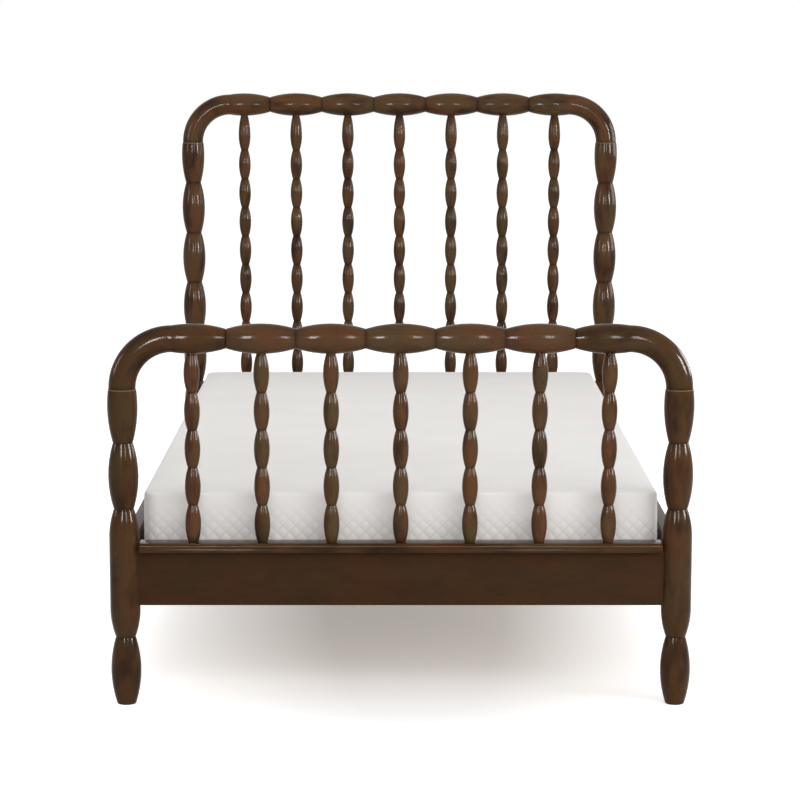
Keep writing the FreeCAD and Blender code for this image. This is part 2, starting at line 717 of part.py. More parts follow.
def group(name, pieces):
    """Several like fasteners as one node of separate solids."""
    node = doc.addObject("Part::Compound", name)
    node.Links = pieces
    node.Label = name
    return node


def ring(name, outer, hole, z):
    """A washer or a nut: an outer form at a height with a round hole through it."""
    cutter = solid("Cylinder", name + "_hole", Radius=hole, Height="brace_reach")
    place(outer, z=z)
    place(cutter, z=f"{z} - {CUT_OVER}")
    piece = doc.addObject("Part::Cut", name)
    piece.Base = outer
    piece.Tool = cutter
    return piece


def screw(name, length, countersunk):
    """A screw along -Z. A flat head lies below its origin and a pan head on top of it."""
    shank = solid("Cylinder", name + "_shank", Radius="screw_dia / 2", Height=length)
    place(shank, **DOWN)
    if countersunk:
        head = solid("Cone", name + "_head", Radius1="screw_head / 2", Radius2="screw_dia / 2",
                     Height="screw_head_height")
        place(head, **DOWN)
    else:
        head = solid("Cone", name + "_head", Radius1="screw_head / 2", Radius2="screw_head / 3",
                     Height="screw_head_height")
    piece = doc.addObject("Part::MultiFuse", name)
    piece.Shapes = [shank, head]
    return piece


def set_frame(thing, position, direction):
    """Place a fastener so that its own +Z points along a direction."""
    place(thing, *position)
    thing.Placement = FreeCAD.Placement(
        thing.Placement.Base, FreeCAD.Rotation(FreeCAD.Vector(0, 0, 1), direction))


# The corners of the bed: name, sides, and the turn that points local +X and +Y inwards
CORNERS = (
    ("foot_left", -1, -1, 0.0),
    ("foot_right", 1, -1, QUARTER_TURN),
    ("head_right", 1, 1, HALF_TURN),
    ("head_left", -1, 1, -QUARTER_TURN),
)


def make_brace_fasteners():
    """Hanger bolts, washers, nuts and screws of the four braces, as four nodes."""
    bolts, washers, nuts, screws = [], [], [], []
    face = "(board_thick / 2 + brace_steel)"
    for corner, side, end, _ in CORNERS:
        inward = FreeCAD.Vector(-side, -end, 0)
        post = (f"{side} * post_spacing / 2", f"{end} * bed_length / 2", BRACE_MIDDLE)
        bolt = solid("Cylinder", f"bolt_{corner}", Radius="bolt_dia / 2", Height="bolt_length")
        shift = f"bolt_start / {math.sqrt(2)}"
        set_frame(bolt, (f"{post[0]} - {side} * {shift}", f"{post[1]} - {end} * {shift}",
                         BRACE_MIDDLE), inward)
        bolts.append(bolt)
        disc = solid("Cylinder", f"washer_{corner}_disc", Radius="washer_dia / 2",
                     Height="washer_thick")
        washer = ring(f"washer_{corner}", disc, "bolt_dia / 2 + glue_gap",
                      "brace_reach + brace_steel")
        hexagon = doc.addObject("Part::Prism", f"nut_{corner}_hexagon")
        hexagon.Polygon = 6
        put(hexagon, Circumradius=f"nut_width / {math.sqrt(3)}", Height="nut_height")
        nut = ring(f"nut_{corner}", hexagon, "bolt_dia / 2 + glue_gap",
                   "brace_reach + brace_steel + washer_thick")
        for piece in (washer, nut):
            set_frame(piece, post, inward)
        washers.append(washer)
        nuts.append(nut)
        for level in (-1, 1):
            height = f"{BRACE_MIDDLE} + {level} * brace_height / 4"
            on_rail = screw(f"rail_screw_{corner}_{level + 2}", "brace_screw_length", False)
            set_frame(on_rail, (f"{post[0]} - {side} * {face}",
                                f"{post[1]} - {end} * {FLANGE_MIDDLE}", height),
                      FreeCAD.Vector(-side, 0, 0))
            on_board = screw(f"board_screw_{corner}_{level + 2}", "brace_screw_length", False)
            set_frame(on_board, (f"{post[0]} - {side} * {FLANGE_MIDDLE}",
                                 f"{post[1]} - {end} * {face}", height),
                      FreeCAD.Vector(0, -end, 0))
            screws += [on_rail, on_board]
    return [group("hanger_bolts", bolts), group("bolt_washers", washers),
            group("bolt_nuts", nuts), group("brace_screws", screws)]


def make_deck_screws():
    """The wood screws of the cleats and the slats, as two nodes."""
    cleat_screws, slat_screws = [], []
    for side in (-1, 1):
        for index in range(CLEAT_SCREWS):
            step = index - (CLEAT_SCREWS - 1) // 2
            piece = screw(f"cleat_screw_{side + 2}_{index + 1}", "wood_screw_length", True)
            set_frame(piece, (f"{side} * ({CLEAT_MIDDLE} - cleat_width / 2)",
                              f"{step} * {CLEAT_SCREW_STEP}",
                              f"board_bottom + {CLEAT_SCREW_LEVEL}"),
                      FreeCAD.Vector(-side, 0, 0))
            cleat_screws.append(piece)
        for index in range(SLATS):
            step = index - (SLATS - 1) // 2
            piece = screw(f"slat_screw_{side + 2}_{index + 1}", "wood_screw_length", True)
            place(piece, f"{side} * {CLEAT_MIDDLE}", f"{step} * {SLAT_STEP}", SLAT_TOP)
            slat_screws.append(piece)
    return [group("cleat_screws", cleat_screws), group("slat_screws", slat_screws)]


def make_dowels():
    """The dowels of the eight joints at the corner pieces, as one node."""
    dowels = []
    for end, joint in ((-1, FOOT_JOINT), (1, HEAD_JOINT)):
        for side in (-1, 1):
            label = f"dowel_{end + 2}_{side + 2}"
            upright = solid("Cylinder", label + "_post", Radius="dowel_dia / 2",
                            Height="dowel_length")
            place(upright, f"{side} * post_spacing / 2", f"{end} * bed_length / 2",
                  f"{joint} - dowel_length / 2")
            level = solid("Cylinder", label + "_rail", Radius="dowel_dia / 2",
                          Height="dowel_length")
            place(level, f"{side} * {RAIL_BEADS} / 2 * {BAY} - dowel_length / 2",
                  f"{end} * bed_length / 2", f"{joint} + bend_radius",
                  QUARTER_TURN, FreeCAD.Vector(0, 1, 0))
            dowels += [upright, level]
    return group("corner_dowels", dowels)


# Mattress ------------------------------------------------------------------------------------

def rounded_section(body, name, inset, height):
    """A horizontal section of the mattress: a rectangle with rounded corners."""
    sketch = new_sketch(body, name, "XY_Plane", height)
    half_x = f"(post_spacing / 2 - board_thick / 2 - mattress_side_gap - ({inset}))"
    half_y = f"(bed_length / 2 - board_thick / 2 - mattress_end_gap - ({inset}))"
    turn = "mattress_corner"
    points = []
    for sign_x, sign_y in ((1, -1), (1, 1), (-1, 1), (-1, -1)):
        across = (f"{sign_x} * ({half_x} - {turn})", f"{sign_y} * {half_y}")
        along = (f"{sign_x} * {half_x}", f"{sign_y} * ({half_y} - {turn})")
        first, second = (across, along) if sign_x * sign_y < 0 else (along, across)
        points += [(*first, turn, -1), second]
    draw_outline(sketch, points)
    return sketch


def make_mattress():
    """The mattress: rounded edges, sides drawn in between them and a low crown."""
    body = new_body("mattress")
    angles = [math.pi / 2 * step / MATTRESS_EDGE_STEPS for step in range(MATTRESS_EDGE_STEPS + 1)]
    edge = [(f"mattress_edge * {1 - math.sin(angle)}", f"mattress_edge * {1 - math.cos(angle)}")
            for angle in angles]
    shoulder = "mattress_height - mattress_crown"
    sections = [
        *edge,
        ("mattress_waist", "mattress_height / 2"),
        *((inset, f"{shoulder} - {height}") for inset, height in reversed(edge)),
        ("mattress_crown_inset", "mattress_height"),
    ]
    sketches = [rounded_section(body, f"mattress_section_{index}", inset, height)
                for index, (inset, height) in enumerate(sections, start=1)]
    loft = body.newObject("PartDesign::AdditiveLoft", "mattress_form")
    loft.Profile = sketches[0]
    loft.Sections = sketches[1:]
    loft.Ruled = True
    doc.recompute()
    place(body, "0", "0", f"{SLAT_TOP} + rest_gap")
    return body


# The whole bed -------------------------------------------------------------------------------

def build_nodes():
    """Build every piece and return them in order."""
    nodes = []
    ends = {
        "foot": (-1, FOOT_JOINT, "foot_bead_count", "foot_spindle_beads", "foot_top_stretch", 0.0),
        "head": (1, HEAD_JOINT, "head_bead_count", "head_spindle_beads", "head_top_stretch",
                 HALF_TURN),
    }
    for name, side, end, turn in CORNERS:
        end_name, side_name = name.split("_")
        joint, bead_count = ends[end_name][1:3]
        x, y = f"{side} * post_spacing / 2", f"{end} * bed_length / 2"
        nodes.append(make_post(f"{end_name}_post_{side_name}", x, y, turn, bead_count,
                               side_rail_on_x=side != end))
        nodes.append(make_corner(f"{end_name}_corner_{side_name}", x, y, joint,
                                 0.0 if side < 0 else HALF_TURN))
        nodes.append(make_brace(f"{end_name}_brace_{side_name}", x, y, turn))
    for name, (end, joint, _, spindle_beads, stretch, turn) in ends.items():
        y = f"{end} * bed_length / 2"
        nodes.append(make_top_rail(name + "_top_rail", y, f"{joint} + bend_radius"))
        nodes.append(make_cap(name + "_cap_rail", y, turn))
        nodes.append(make_lower_board(name + "_lower_board", y, turn))
        underside = f"({joint} + bend_radius - rail_dia / 2)"
        for index in range(SPINDLES):
            x = f"{index - SPINDLES // 2} * {BAY}"
            nodes.append(make_spindle(f"{name}_spindle_{index + 1}", x, y, underside,
                                      spindle_beads, stretch))
    for side_name, side, turn in (("left", -1, -QUARTER_TURN), ("right", 1, QUARTER_TURN)):
        nodes.append(make_side_rail("side_rail_" + side_name, f"{side} * post_spacing / 2", turn))
        nodes.append(make_cleat("slat_cleat_" + side_name, side))
    for index in range(SLATS):
        nodes.append(make_slat(f"slat_{index + 1:02d}", index - (SLATS - 1) // 2))
    nodes += make_brace_fasteners()
    nodes += make_deck_screws()
    nodes.append(make_dowels())
    nodes.append(make_mattress())
    return nodes


def check_document(nodes):
    """Stop if any object failed or any piece has no sound shape."""
    for item in doc.Objects:
        if {"Invalid", "Error"} & set(item.State):
            raise RuntimeError(f"{item.Name} failed: {item.State}")
    for node in nodes:
        if node.Shape.isNull() or not node.Shape.isValid():
            raise RuntimeError(f"{node.Label} has no valid shape")


NODES = build_nodes()
doc.recompute()
check_document(NODES)
os.makedirs("parts", exist_ok=True)
for node in NODES:
    node.Shape.exportStep(f"parts/{node.Label}.step")
print(f"{len(NODES)} nodes, {sum(len(node.Shape.Solids) for node in NODES)} solids")
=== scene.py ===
"""Looks of a single spindle bed: turned and stained wood, plain steel fittings, a quilted mattress.

The frame is in metres, +Z up, +Y from the foot to the head and +X to the right of somebody who
stands at the foot. Each wooden piece carries a vector attribute, "grain": where each of its points
lay in the plank that it was cut from, with the third number along the grain.
"""

import logging
import math
import random
from dataclasses import dataclass, field
from enum import Enum
from typing import Callable, Sequence

import bmesh
import bpy
import numpy as np
from mathutils import Matrix, Vector


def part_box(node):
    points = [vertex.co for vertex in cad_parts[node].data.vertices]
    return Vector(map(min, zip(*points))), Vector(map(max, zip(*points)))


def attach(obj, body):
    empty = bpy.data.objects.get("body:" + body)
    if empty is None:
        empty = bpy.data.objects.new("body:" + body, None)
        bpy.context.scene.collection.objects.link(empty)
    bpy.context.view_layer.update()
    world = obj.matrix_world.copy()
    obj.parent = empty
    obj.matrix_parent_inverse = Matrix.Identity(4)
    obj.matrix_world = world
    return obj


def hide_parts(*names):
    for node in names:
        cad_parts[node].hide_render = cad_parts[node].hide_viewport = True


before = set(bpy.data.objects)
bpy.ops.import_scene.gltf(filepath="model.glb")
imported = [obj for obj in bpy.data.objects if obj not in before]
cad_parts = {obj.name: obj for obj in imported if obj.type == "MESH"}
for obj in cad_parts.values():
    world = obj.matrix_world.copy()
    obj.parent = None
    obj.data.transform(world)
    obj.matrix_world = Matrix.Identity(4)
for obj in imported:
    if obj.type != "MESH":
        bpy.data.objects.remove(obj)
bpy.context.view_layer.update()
LOG = logging.getLogger("spindle_bed")

Form = bmesh.types.BMesh
Ring = list[bmesh.types.BMEdge]
Tree = bpy.types.NodeTree
Node = bpy.types.Node
Socket = bpy.types.NodeSocket
Colour = tuple[float, float, float, float]
MM = 0.001
FULL_TURN = 2 * math.pi
METRE_WAVE = FULL_TURN / 20         # a wave texture's scale for rings or bands a metre apart
FLAT = 0.8                          # how far up or down a face points that counts as level


class Slot(Enum):
    """The record's material slots."""
    STAINED = "stained_wood"
    SLAT = "slat_wood"
    ZINC = "zinc_steel"
    FABRIC = "mattress_fabric"


class Rides(Enum):
    """The bodies that pieces ride on."""
    BED = "bed_frame"
    MATTRESS = "mattress"


# Finishes ------------------------------------------------------------------------------------

def linear(code: str) -> Colour:
    """Turn an sRGB hex code into a linear colour.

    Args:
        code: The code, of six digits.

    Returns:
        The colour, with full alpha.
    """
    shares = [int(code[start:start + 2], 16) / 255 for start in (0, 2, 4)]
    red, green, blue = (c / 12.92 if c <= 0.04045 else ((c + 0.055) / 1.055) ** 2.4 for c in shares)
    return red, green, blue, 1.0


def add_node(tree: Tree, kind: str, inputs: dict | None = None, **settings: object) -> Node:
    """Add a node to a tree, with its settings and links.

    Args:
        tree: The node tree that the node joins.
        kind: The node's type name after "ShaderNode".
        inputs: By the input's name or number a value, a socket to link from, or a node, which
            stands for the first of its outputs that is in use.
        settings: The node's own properties.

    Returns:
        The new node.
    """
    node = tree.nodes.new("ShaderNode" + kind)
    for name, setting in settings.items():
        setattr(node, name, setting)
    for key, given in (inputs or {}).items():
        if isinstance(given, Node):
            given = next(output for output in given.outputs if output.enabled)
        if isinstance(given, Socket):
            tree.links.new(given, node.inputs[key])
        else:
            node.inputs[key].default_value = given
    return node


@dataclass(frozen=True)
class Finish:
    """A surface finish. A kind of finish draws its pattern and gives the shader's inputs."""
    name: str
    slot: Slot

    def material(self) -> bpy.types.Material:
        """Build the finish as a material, unless it was built before.

        Returns:
            The material.
        """
        if self.name in bpy.data.materials:
            return bpy.data.materials[self.name]
        material = bpy.data.materials.new(self.name)
        material.use_nodes = True
        tree = material.node_tree
        tree.nodes.clear()
        shader = add_node(tree, "BsdfPrincipled", self.pattern(tree))
        add_node(tree, "OutputMaterial", {"Surface": shader})
        return material

    def pattern(self, tree: Tree) -> dict[str, object]:
        """Draw the pattern in a tree and return the shader's inputs by name."""
        raise NotImplementedError


def lay_tone(tree: Tree, ground: Node | Colour, tone: str, pattern: Node | Socket,
             edges: tuple[float, float] = (0.0, 1.0), most: float = 1.0) -> Node:
    """Lay a tone over a ground where a pattern is strong.

    Args:
        tree: The material's node tree.
        ground: The colour below.
        tone: The tone, as an sRGB hex code.
        pattern: What decides where the tone lies.
        edges: The pattern's values where the tone starts and where it is full.
        most: How much of the tone covers the ground there.

    Returns:
        The node that gives the mixed colour.
    """
    share = add_node(tree, "MapRange", {
        "Value": pattern, "From Min": edges[0], "From Max": edges[1], "To Max": most})
    return add_node(tree, "Mix", {0: share, 6: ground, 7: linear(tone)}, data_type="RGBA")


def grain_noise(tree: Tree, width: float, length: float, detail: float = 2.0,
                shift: float = 0.0) -> Node:
    """Draw noise that is stretched along the grain.

    Args:
        tree: The material's node tree.
        width: Size of a spot across the grain, in metres.
        length: Size of a spot along the grain, in metres.
        detail: How many finer layers are added.
        shift: Moves the pattern, so that two of the same size differ.

    Returns:
        The noise's node, whose value is about 0.3 to 0.7.
    """
    place = add_node(tree, "Attribute", attribute_name="grain")
    drawn = add_node(tree, "Mapping", {
        "Vector": place.outputs["Vector"], "Location": (shift, shift, shift),
        "Scale": (1.0, 1.0, width / length)})
    return add_node(tree, "TexNoise", {
        "Vector": drawn, "Scale": 1 / width, "Detail": detail, "Roughness": 0.55})


@dataclass(frozen=True)
class Log:
    """How the log grew that a wood was cut from."""
    pith: tuple[float, float]       # where its middle lies across the piece
    ring: float                     # width of a growth ring
    wave: float                     # how wavy the rings are
    ripple: float                   # how small their waves are
    drift: float                    # how fast they change along the grain

    def rings(self, tree: Tree) -> Socket:
        """Draw the growth rings.

        Args:
            tree: The material's node tree.

        Returns:
            The socket that is 0 in early wood and 1 in late wood.
        """
        place = add_node(tree, "Attribute", attribute_name="grain")
        log = add_node(tree, "Mapping", {
            "Vector": place.outputs["Vector"], "Location": (*self.pith, 0.0),
            "Scale": (1.0, 1.0, self.drift)})
        rings = add_node(tree, "TexWave", {
            "Vector": log, "Scale": METRE_WAVE / self.ring, "Distortion": self.wave,
            "Detail": 2.0, "Detail Scale": self.ripple}, wave_type="RINGS", rings_direction="Z")
        return rings.outputs["Fac"]


@dataclass(frozen=True)
class LacqueredHardwood(Finish):
    """Turned hardwood, wiped with walnut stain and sprayed with a satin lacquer.

    The stain takes unevenly, so one bead is reddish and the next olive. The grooves are darkened:
    painted shade, with some stain that gathers there. The rims of the joints and the cap's nose are
    lightened with a painted highlight. The lacquer is smooth, so lights show as narrow streaks, a
    little broken by the pores.
    """
    red: str = "583923"
    olive: str = "4E3C26"
    umber: str = "2A1D15"
    # A painted highlight, laid on the rims of the joints and on the cap's nose.
    highlight_tone: str = "70593F"
    pore_tone: str = "1A100A"
    # The groove tone and its share darken the grooves: painted shade, with some stain that gathers
    # there.
    groove_shade_tone: str = "150C08"
    patchy: float = 0.85            # how much the umber patches cover
    ring_share: float = 0.12
    pore_share: float = 0.30
    groove_shade_share: float = 0.7
    cloud: float = 55 * MM          # size of the stain's clouds across the grain
    pore: float = 0.9 * MM          # width of a pore line; real ones are a third of that
    pore_depth: float = 0.03 * MM
    index: float = 1.10             # a thin satin coat, which keeps the rims from glaring
    log: Log = Log(pith=(0.045, 0.03), ring=5 * MM, wave=2.5, ripple=0.4, drift=0.1)

    def pattern(self, tree: Tree) -> dict[str, object]:
        """Draw clouds of stain, growth rings and pore lines under the lacquer, with painted shade
        in the grooves and painted highlights on the rims.

        Args:
            tree: The material's node tree.

        Returns:
            The shader's inputs by name.
        """
        clouds = grain_noise(tree, self.cloud, 2.2 * self.cloud)
        depth = grain_noise(tree, 0.6 * self.cloud, 1.5 * self.cloud, shift=7.3)
        pores = grain_noise(tree, self.pore, 40 * self.pore, detail=3.0)
        groove = add_node(tree, "Attribute", attribute_name="groove").outputs["Fac"]
        painted_highlight = add_node(tree, "Attribute", attribute_name="painted_highlight").outputs["Fac"]
        stain = lay_tone(tree, linear(self.olive), self.red, clouds, (0.40, 0.60))
        stain = lay_tone(tree, stain, self.umber, depth, (0.45, 0.70), self.patchy)
        stain = lay_tone(tree, stain, self.umber, self.log.rings(tree), most=self.ring_share)
        stain = lay_tone(tree, stain, self.pore_tone, pores, (0.52, 0.70), self.pore_share)
        # Painted shade darkens the grooves, with some stain that gathers there.
        stain = lay_tone(tree, stain, self.groove_shade_tone, groove, most=self.groove_shade_share)
        # A painted highlight lightens the rims of the joints and the cap's nose.
        return {
            "Base Color": lay_tone(tree, stain, self.highlight_tone, painted_highlight),
            "Roughness": add_node(tree, "MapRange", {
                "Value": pores, "From Min": 0.35, "From Max": 0.70, "To Min": 0.10,
                "To Max": 0.18}),
            "Normal": add_node(tree, "Bump", {
                "Height": pores, "Strength": 0.25, "Distance": self.pore_depth}),
            "IOR": self.index,
            "Specular IOR Level": 1.0}


@dataclass(frozen=True)
class PlanedSoftwood(Finish):
    """Planed pine for slats and cleats: left unfinished, pale, with clear rings and a few dark
    lines.
    """
    early: str = "D3B184"
    late: str = "B2834F"
    aged: str = "C79A63"
    dark: str = "94683A"
    late_share: float = 0.65
    aged_share: float = 0.35
    dark_share: float = 0.4
    fibre: float = 0.8 * MM
    fibre_depth: float = 0.06 * MM
    patch: tuple[float, float] = (60 * MM, 300 * MM)    # of aged wood, across and along the grain
    log: Log = Log(pith=(0.008, 0.038), ring=4 * MM, wave=3.0, ripple=0.3, drift=0.05)

    def pattern(self, tree: Tree) -> dict[str, object]:
        """Draw growth rings and fibres on bare wood.

        Args:
            tree: The material's node tree.

        Returns:
            The shader's inputs by name.
        """
        fibres = grain_noise(tree, self.fibre, 60 * self.fibre, detail=3.0)
        patches = grain_noise(tree, *self.patch, shift=3.1)
        wood = lay_tone(tree, linear(self.early), self.late, self.log.rings(tree), (0.35, 1.0),
                        self.late_share)
        wood = lay_tone(tree, wood, self.aged, patches, (0.3, 0.7), self.aged_share)
        return {
            "Base Color": lay_tone(tree, wood, self.dark, fibres, (0.5, 0.72), self.dark_share),
            "Roughness": add_node(tree, "MapRange", {
                "Value": fibres, "From Min": 0.3, "From Max": 0.7, "To Min": 0.55,
                "To Max": 0.75}),
            "Normal": add_node(tree, "Bump", {
                "Height": fibres, "Strength": 0.4, "Distance": self.fibre_depth})}


@dataclass(frozen=True)
class ZincPlatedSteel(Finish):
    """Pressed steel with a bright zinc plate: silver with a cloudy bloom and fine rolling lines."""
    plate: str = "B9BABB"
    bloom: str = "8F9294"
    spangle: float = 6 * MM
    line: float = 0.5 * MM
    line_depth: float = 0.02 * MM

    def pattern(self, tree: Tree) -> dict[str, object]:
        """Draw a cloudy bloom and rolling lines on metal.

        Args:
            tree: The material's node tree.

        Returns:
            The shader's inputs by name.
        """
        place = add_node(tree, "TexCoord").outputs["Object"]
        cloud = add_node(tree, "TexNoise", {
            "Vector": place, "Scale": 1 / self.spangle, "Detail": 3.0})
        drawn = add_node(tree, "Mapping", {"Vector": place, "Scale": (1.0, 1.0, 0.04)})
        lines = add_node(tree, "TexNoise", {
            "Vector": drawn, "Scale": 1 / self.line, "Detail": 2.0})
        return {
            "Base Color": lay_tone(tree, linear(self.plate), self.bloom, cloud, (0.35, 0.65)),
            "Roughness": add_node(tree, "MapRange", {
                "Value": lines, "From Min": 0.3, "From Max": 0.7, "To Min": 0.28,
                "To Max": 0.45}),
            "Normal": add_node(tree, "Bump", {
                "Height": lines, "Strength": 0.3, "Distance": self.line_depth}),
            "Metallic": 1.0}


@dataclass(frozen=True)
class KnittedTicking(Finish):
    """The mattress's cover: a soft white polyester knit, quilted to a thin wadding.

    Its loops catch the light from every side, so it looks matt. Painted shade darkens the stitch
    lines, where the quilting creases.
    """
    white: str = "DEDBD8"
    shaded: str = "D7D5D2"
    # Painted shade along the stitch lines, where the quilting creases.
    stitch_shade: str = "BCB6B0"
    stitch_shade_share: float = 0.5
    cloud: float = 120 * MM
    loop: float = 2.2 * MM          # spacing of the knit's ribs, drawn three times too coarse
    loop_depth: float = 0.15 * MM
    relief: float = 1.2 * MM        # how far the puffs stand above the stitch lines

    def pattern(self, tree: Tree) -> dict[str, object]:
        """Draw knitted loops over a white ground, with painted shade along the stitch lines.

        Args:
            tree: The material's node tree.

        Returns:
            The shader's inputs by name.
        """
        place = add_node(tree, "TexCoord").outputs["Object"]
        ribs = [add_node(tree, "TexWave", {
            "Vector": place, "Scale": METRE_WAVE / self.loop, "Distortion": 0.6, "Detail": 1.0},
            bands_direction=axis).outputs["Fac"] for axis in ("X", "Y", "Z")]
        weave = add_node(tree, "Math", {0: ribs[0], 1: ribs[1]}, operation="MULTIPLY")
        knit = add_node(tree, "Math", {0: weave, 1: ribs[2]}, operation="ADD")
        cloud = add_node(tree, "TexNoise", {
            "Vector": place, "Scale": 1 / self.cloud, "Detail": 2.0})
        ground = lay_tone(tree, linear(self.white), self.shaded, cloud, (0.35, 0.65), 0.35)
        lines, puffs = self.quilting(tree)
        loops = add_node(tree, "Bump", {
            "Height": knit, "Strength": 0.12, "Distance": self.loop_depth})
        return {
            "Base Color": lay_tone(tree, ground, self.stitch_shade, lines),
            "Roughness": add_node(tree, "MapRange", {
                "Value": knit, "From Max": 2.0, "To Min": 0.80, "To Max": 0.95}),
            "Normal": add_node(tree, "Bump", {
                "Height": puffs, "Normal": loops, "Strength": 0.5, "Distance": self.relief}),
            "Specular IOR Level": 0.2,
            "Sheen Weight": 0.15,
            "Sheen Roughness": 0.5}

    def quilting(self, tree: Tree) -> tuple[Node, Node]:
        """Draw the quilting's diamonds by the piece's "quilt" attribute.

        Args:
            tree: The material's node tree.

        Returns:
            The nodes that give how strong the painted shade along the stitch lines is and how high
            the puffs rise.
        """
        quilt = add_node(tree, "Attribute", attribute_name="quilt").outputs["Vector"]
        turned = add_node(tree, "Mapping", {
            "Vector": quilt, "Rotation": (0.0, 0.0, math.pi / 4)})
        across, up, relief = add_node(tree, "SeparateXYZ", {0: turned}).outputs
        rows = []
        for direction in (across, up):
            counted = add_node(tree, "Math", {0: direction, 1: math.sqrt(2) / 2},
                               operation="DIVIDE")
            saw = add_node(tree, "Math", {0: counted, 1: 0.5}, operation="PINGPONG")
            rows.append(add_node(tree, "MapRange", {
                "Value": saw, "From Max": 0.5, "To Min": 1.0, "To Max": 0.0}))
        seam = add_node(tree, "Math", {0: rows[0], 1: rows[1]}, operation="MAXIMUM")
        # The lines are painted shade along the stitches, faded with the relief.
        line = add_node(tree, "MapRange", {
            "Value": seam, "From Min": 0.74, "To Max": self.stitch_shade_share})
        puff = add_node(tree, "MapRange", {"Value": seam, "To Min": 1.0, "To Max": 0.0})
        faded = [add_node(tree, "Math", {0: strength, 1: relief}, operation="MULTIPLY")
                 for strength in (line, puff)]
        return faded[0], faded[1]


WALNUT = LacqueredHardwood("walnut_stained_lacquered_hardwood", Slot.STAINED)
# A darker copy of the walnut, as painted shade: the foot's posts and corner pieces and the caps get
# it, the head's posts the lighter walnut.
SHADED_WALNUT = LacqueredHardwood("shaded_walnut_stained_lacquered_hardwood", Slot.STAINED,
                                red="4A2F1A", olive="43311C", umber="281A11")
RAIL_WALNUT = LacqueredHardwood("light_walnut_stained_lacquered_hardwood", Slot.STAINED,
                                red="563722", olive="4D3B26", umber="33251A", patchy=0.5)
BOARD_WALNUT = LacqueredHardwood("dark_walnut_stained_lacquered_hardwood", Slot.STAINED,
                                 red="3C2412", olive="372512", umber="281A0F", patchy=0.35)
PINE = PlanedSoftwood("planed_bare_pine", Slot.SLAT)
ZINC = ZincPlatedSteel("zinc_plated_pressed_steel", Slot.ZINC)
TICKING = KnittedTicking("quilted_knitted_ticking", Slot.FABRIC)


# Making and fitting a piece ------------------------------------------------------------------

def finish_piece(name: str, form: Form, finish: Finish, *nodes: str,
                 body: Rides = Rides.BED) -> bpy.types.Object:
    """Turn a finished form into a piece that rides on its body in place of its nodes.

    Args:
        name: The piece's name.
        form: The form, in its place in the frame. It is freed.
        finish: The surface finish.
        nodes: The frame's nodes that the piece stands for.
        body: The body that it rides on.

    Returns:
        The piece's object.
    """
    mesh = bpy.data.meshes.new(name)
    form.to_mesh(mesh)
    form.free()
    mesh.materials.append(finish.material())
    piece = bpy.data.objects.new(name, mesh)
    bpy.context.scene.collection.objects.link(piece)
    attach(piece, body.value)
    if nodes:
        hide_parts(*nodes)
    LOG.info("%s: %d faces", name, len(mesh.polygons))
    return piece


def lay_grain(form: Form, in_plank: Callable[[Vector], Sequence[float]], seed: str) -> None:
    """Give each point its place in the plank that the piece was cut from.

    Args:
        form: The form, still in its own coordinates.
        in_plank: Turns a point into two numbers across the grain and one along it, in metres.
        seed: The piece's name, which picks the plank.
    """
    draw = random.Random(seed)
    shift = Vector((draw.uniform(-0.02, 0.02), draw.uniform(-0.02, 0.02), draw.uniform(0.0, 9.0)))
    layer = form.verts.layers.float_vector.new("grain")
    for point in form.verts:
        point[layer] = Vector(in_plank(point.co)) + shift


def shade(form: Form, limit: float = 20.0) -> None:
    """Shade a form smoothly, except across its sharp edges.

    Args:
        form: The form.
        limit: The turn across an edge, in degrees, from which it is sharp.
    """
    for face in form.faces:
        face.smooth = True
    for edge in form.edges:
        edge.smooth = len(edge.link_faces) < 2 or edge.calc_face_angle(0.0) < math.radians(limit)


def tidy(form: Form) -> None:
    """Merge a form's doubled points and point its faces outwards."""
    bmesh.ops.remove_doubles(form, verts=form.verts, dist=MM * 0.001)
    bmesh.ops.recalc_face_normals(form, faces=form.faces)


def put(form: Form, matrix: Matrix) -> Form:
    """Move a form to its place and return it."""
    bmesh.ops.transform(form, matrix=matrix, verts=form.verts)
    return form


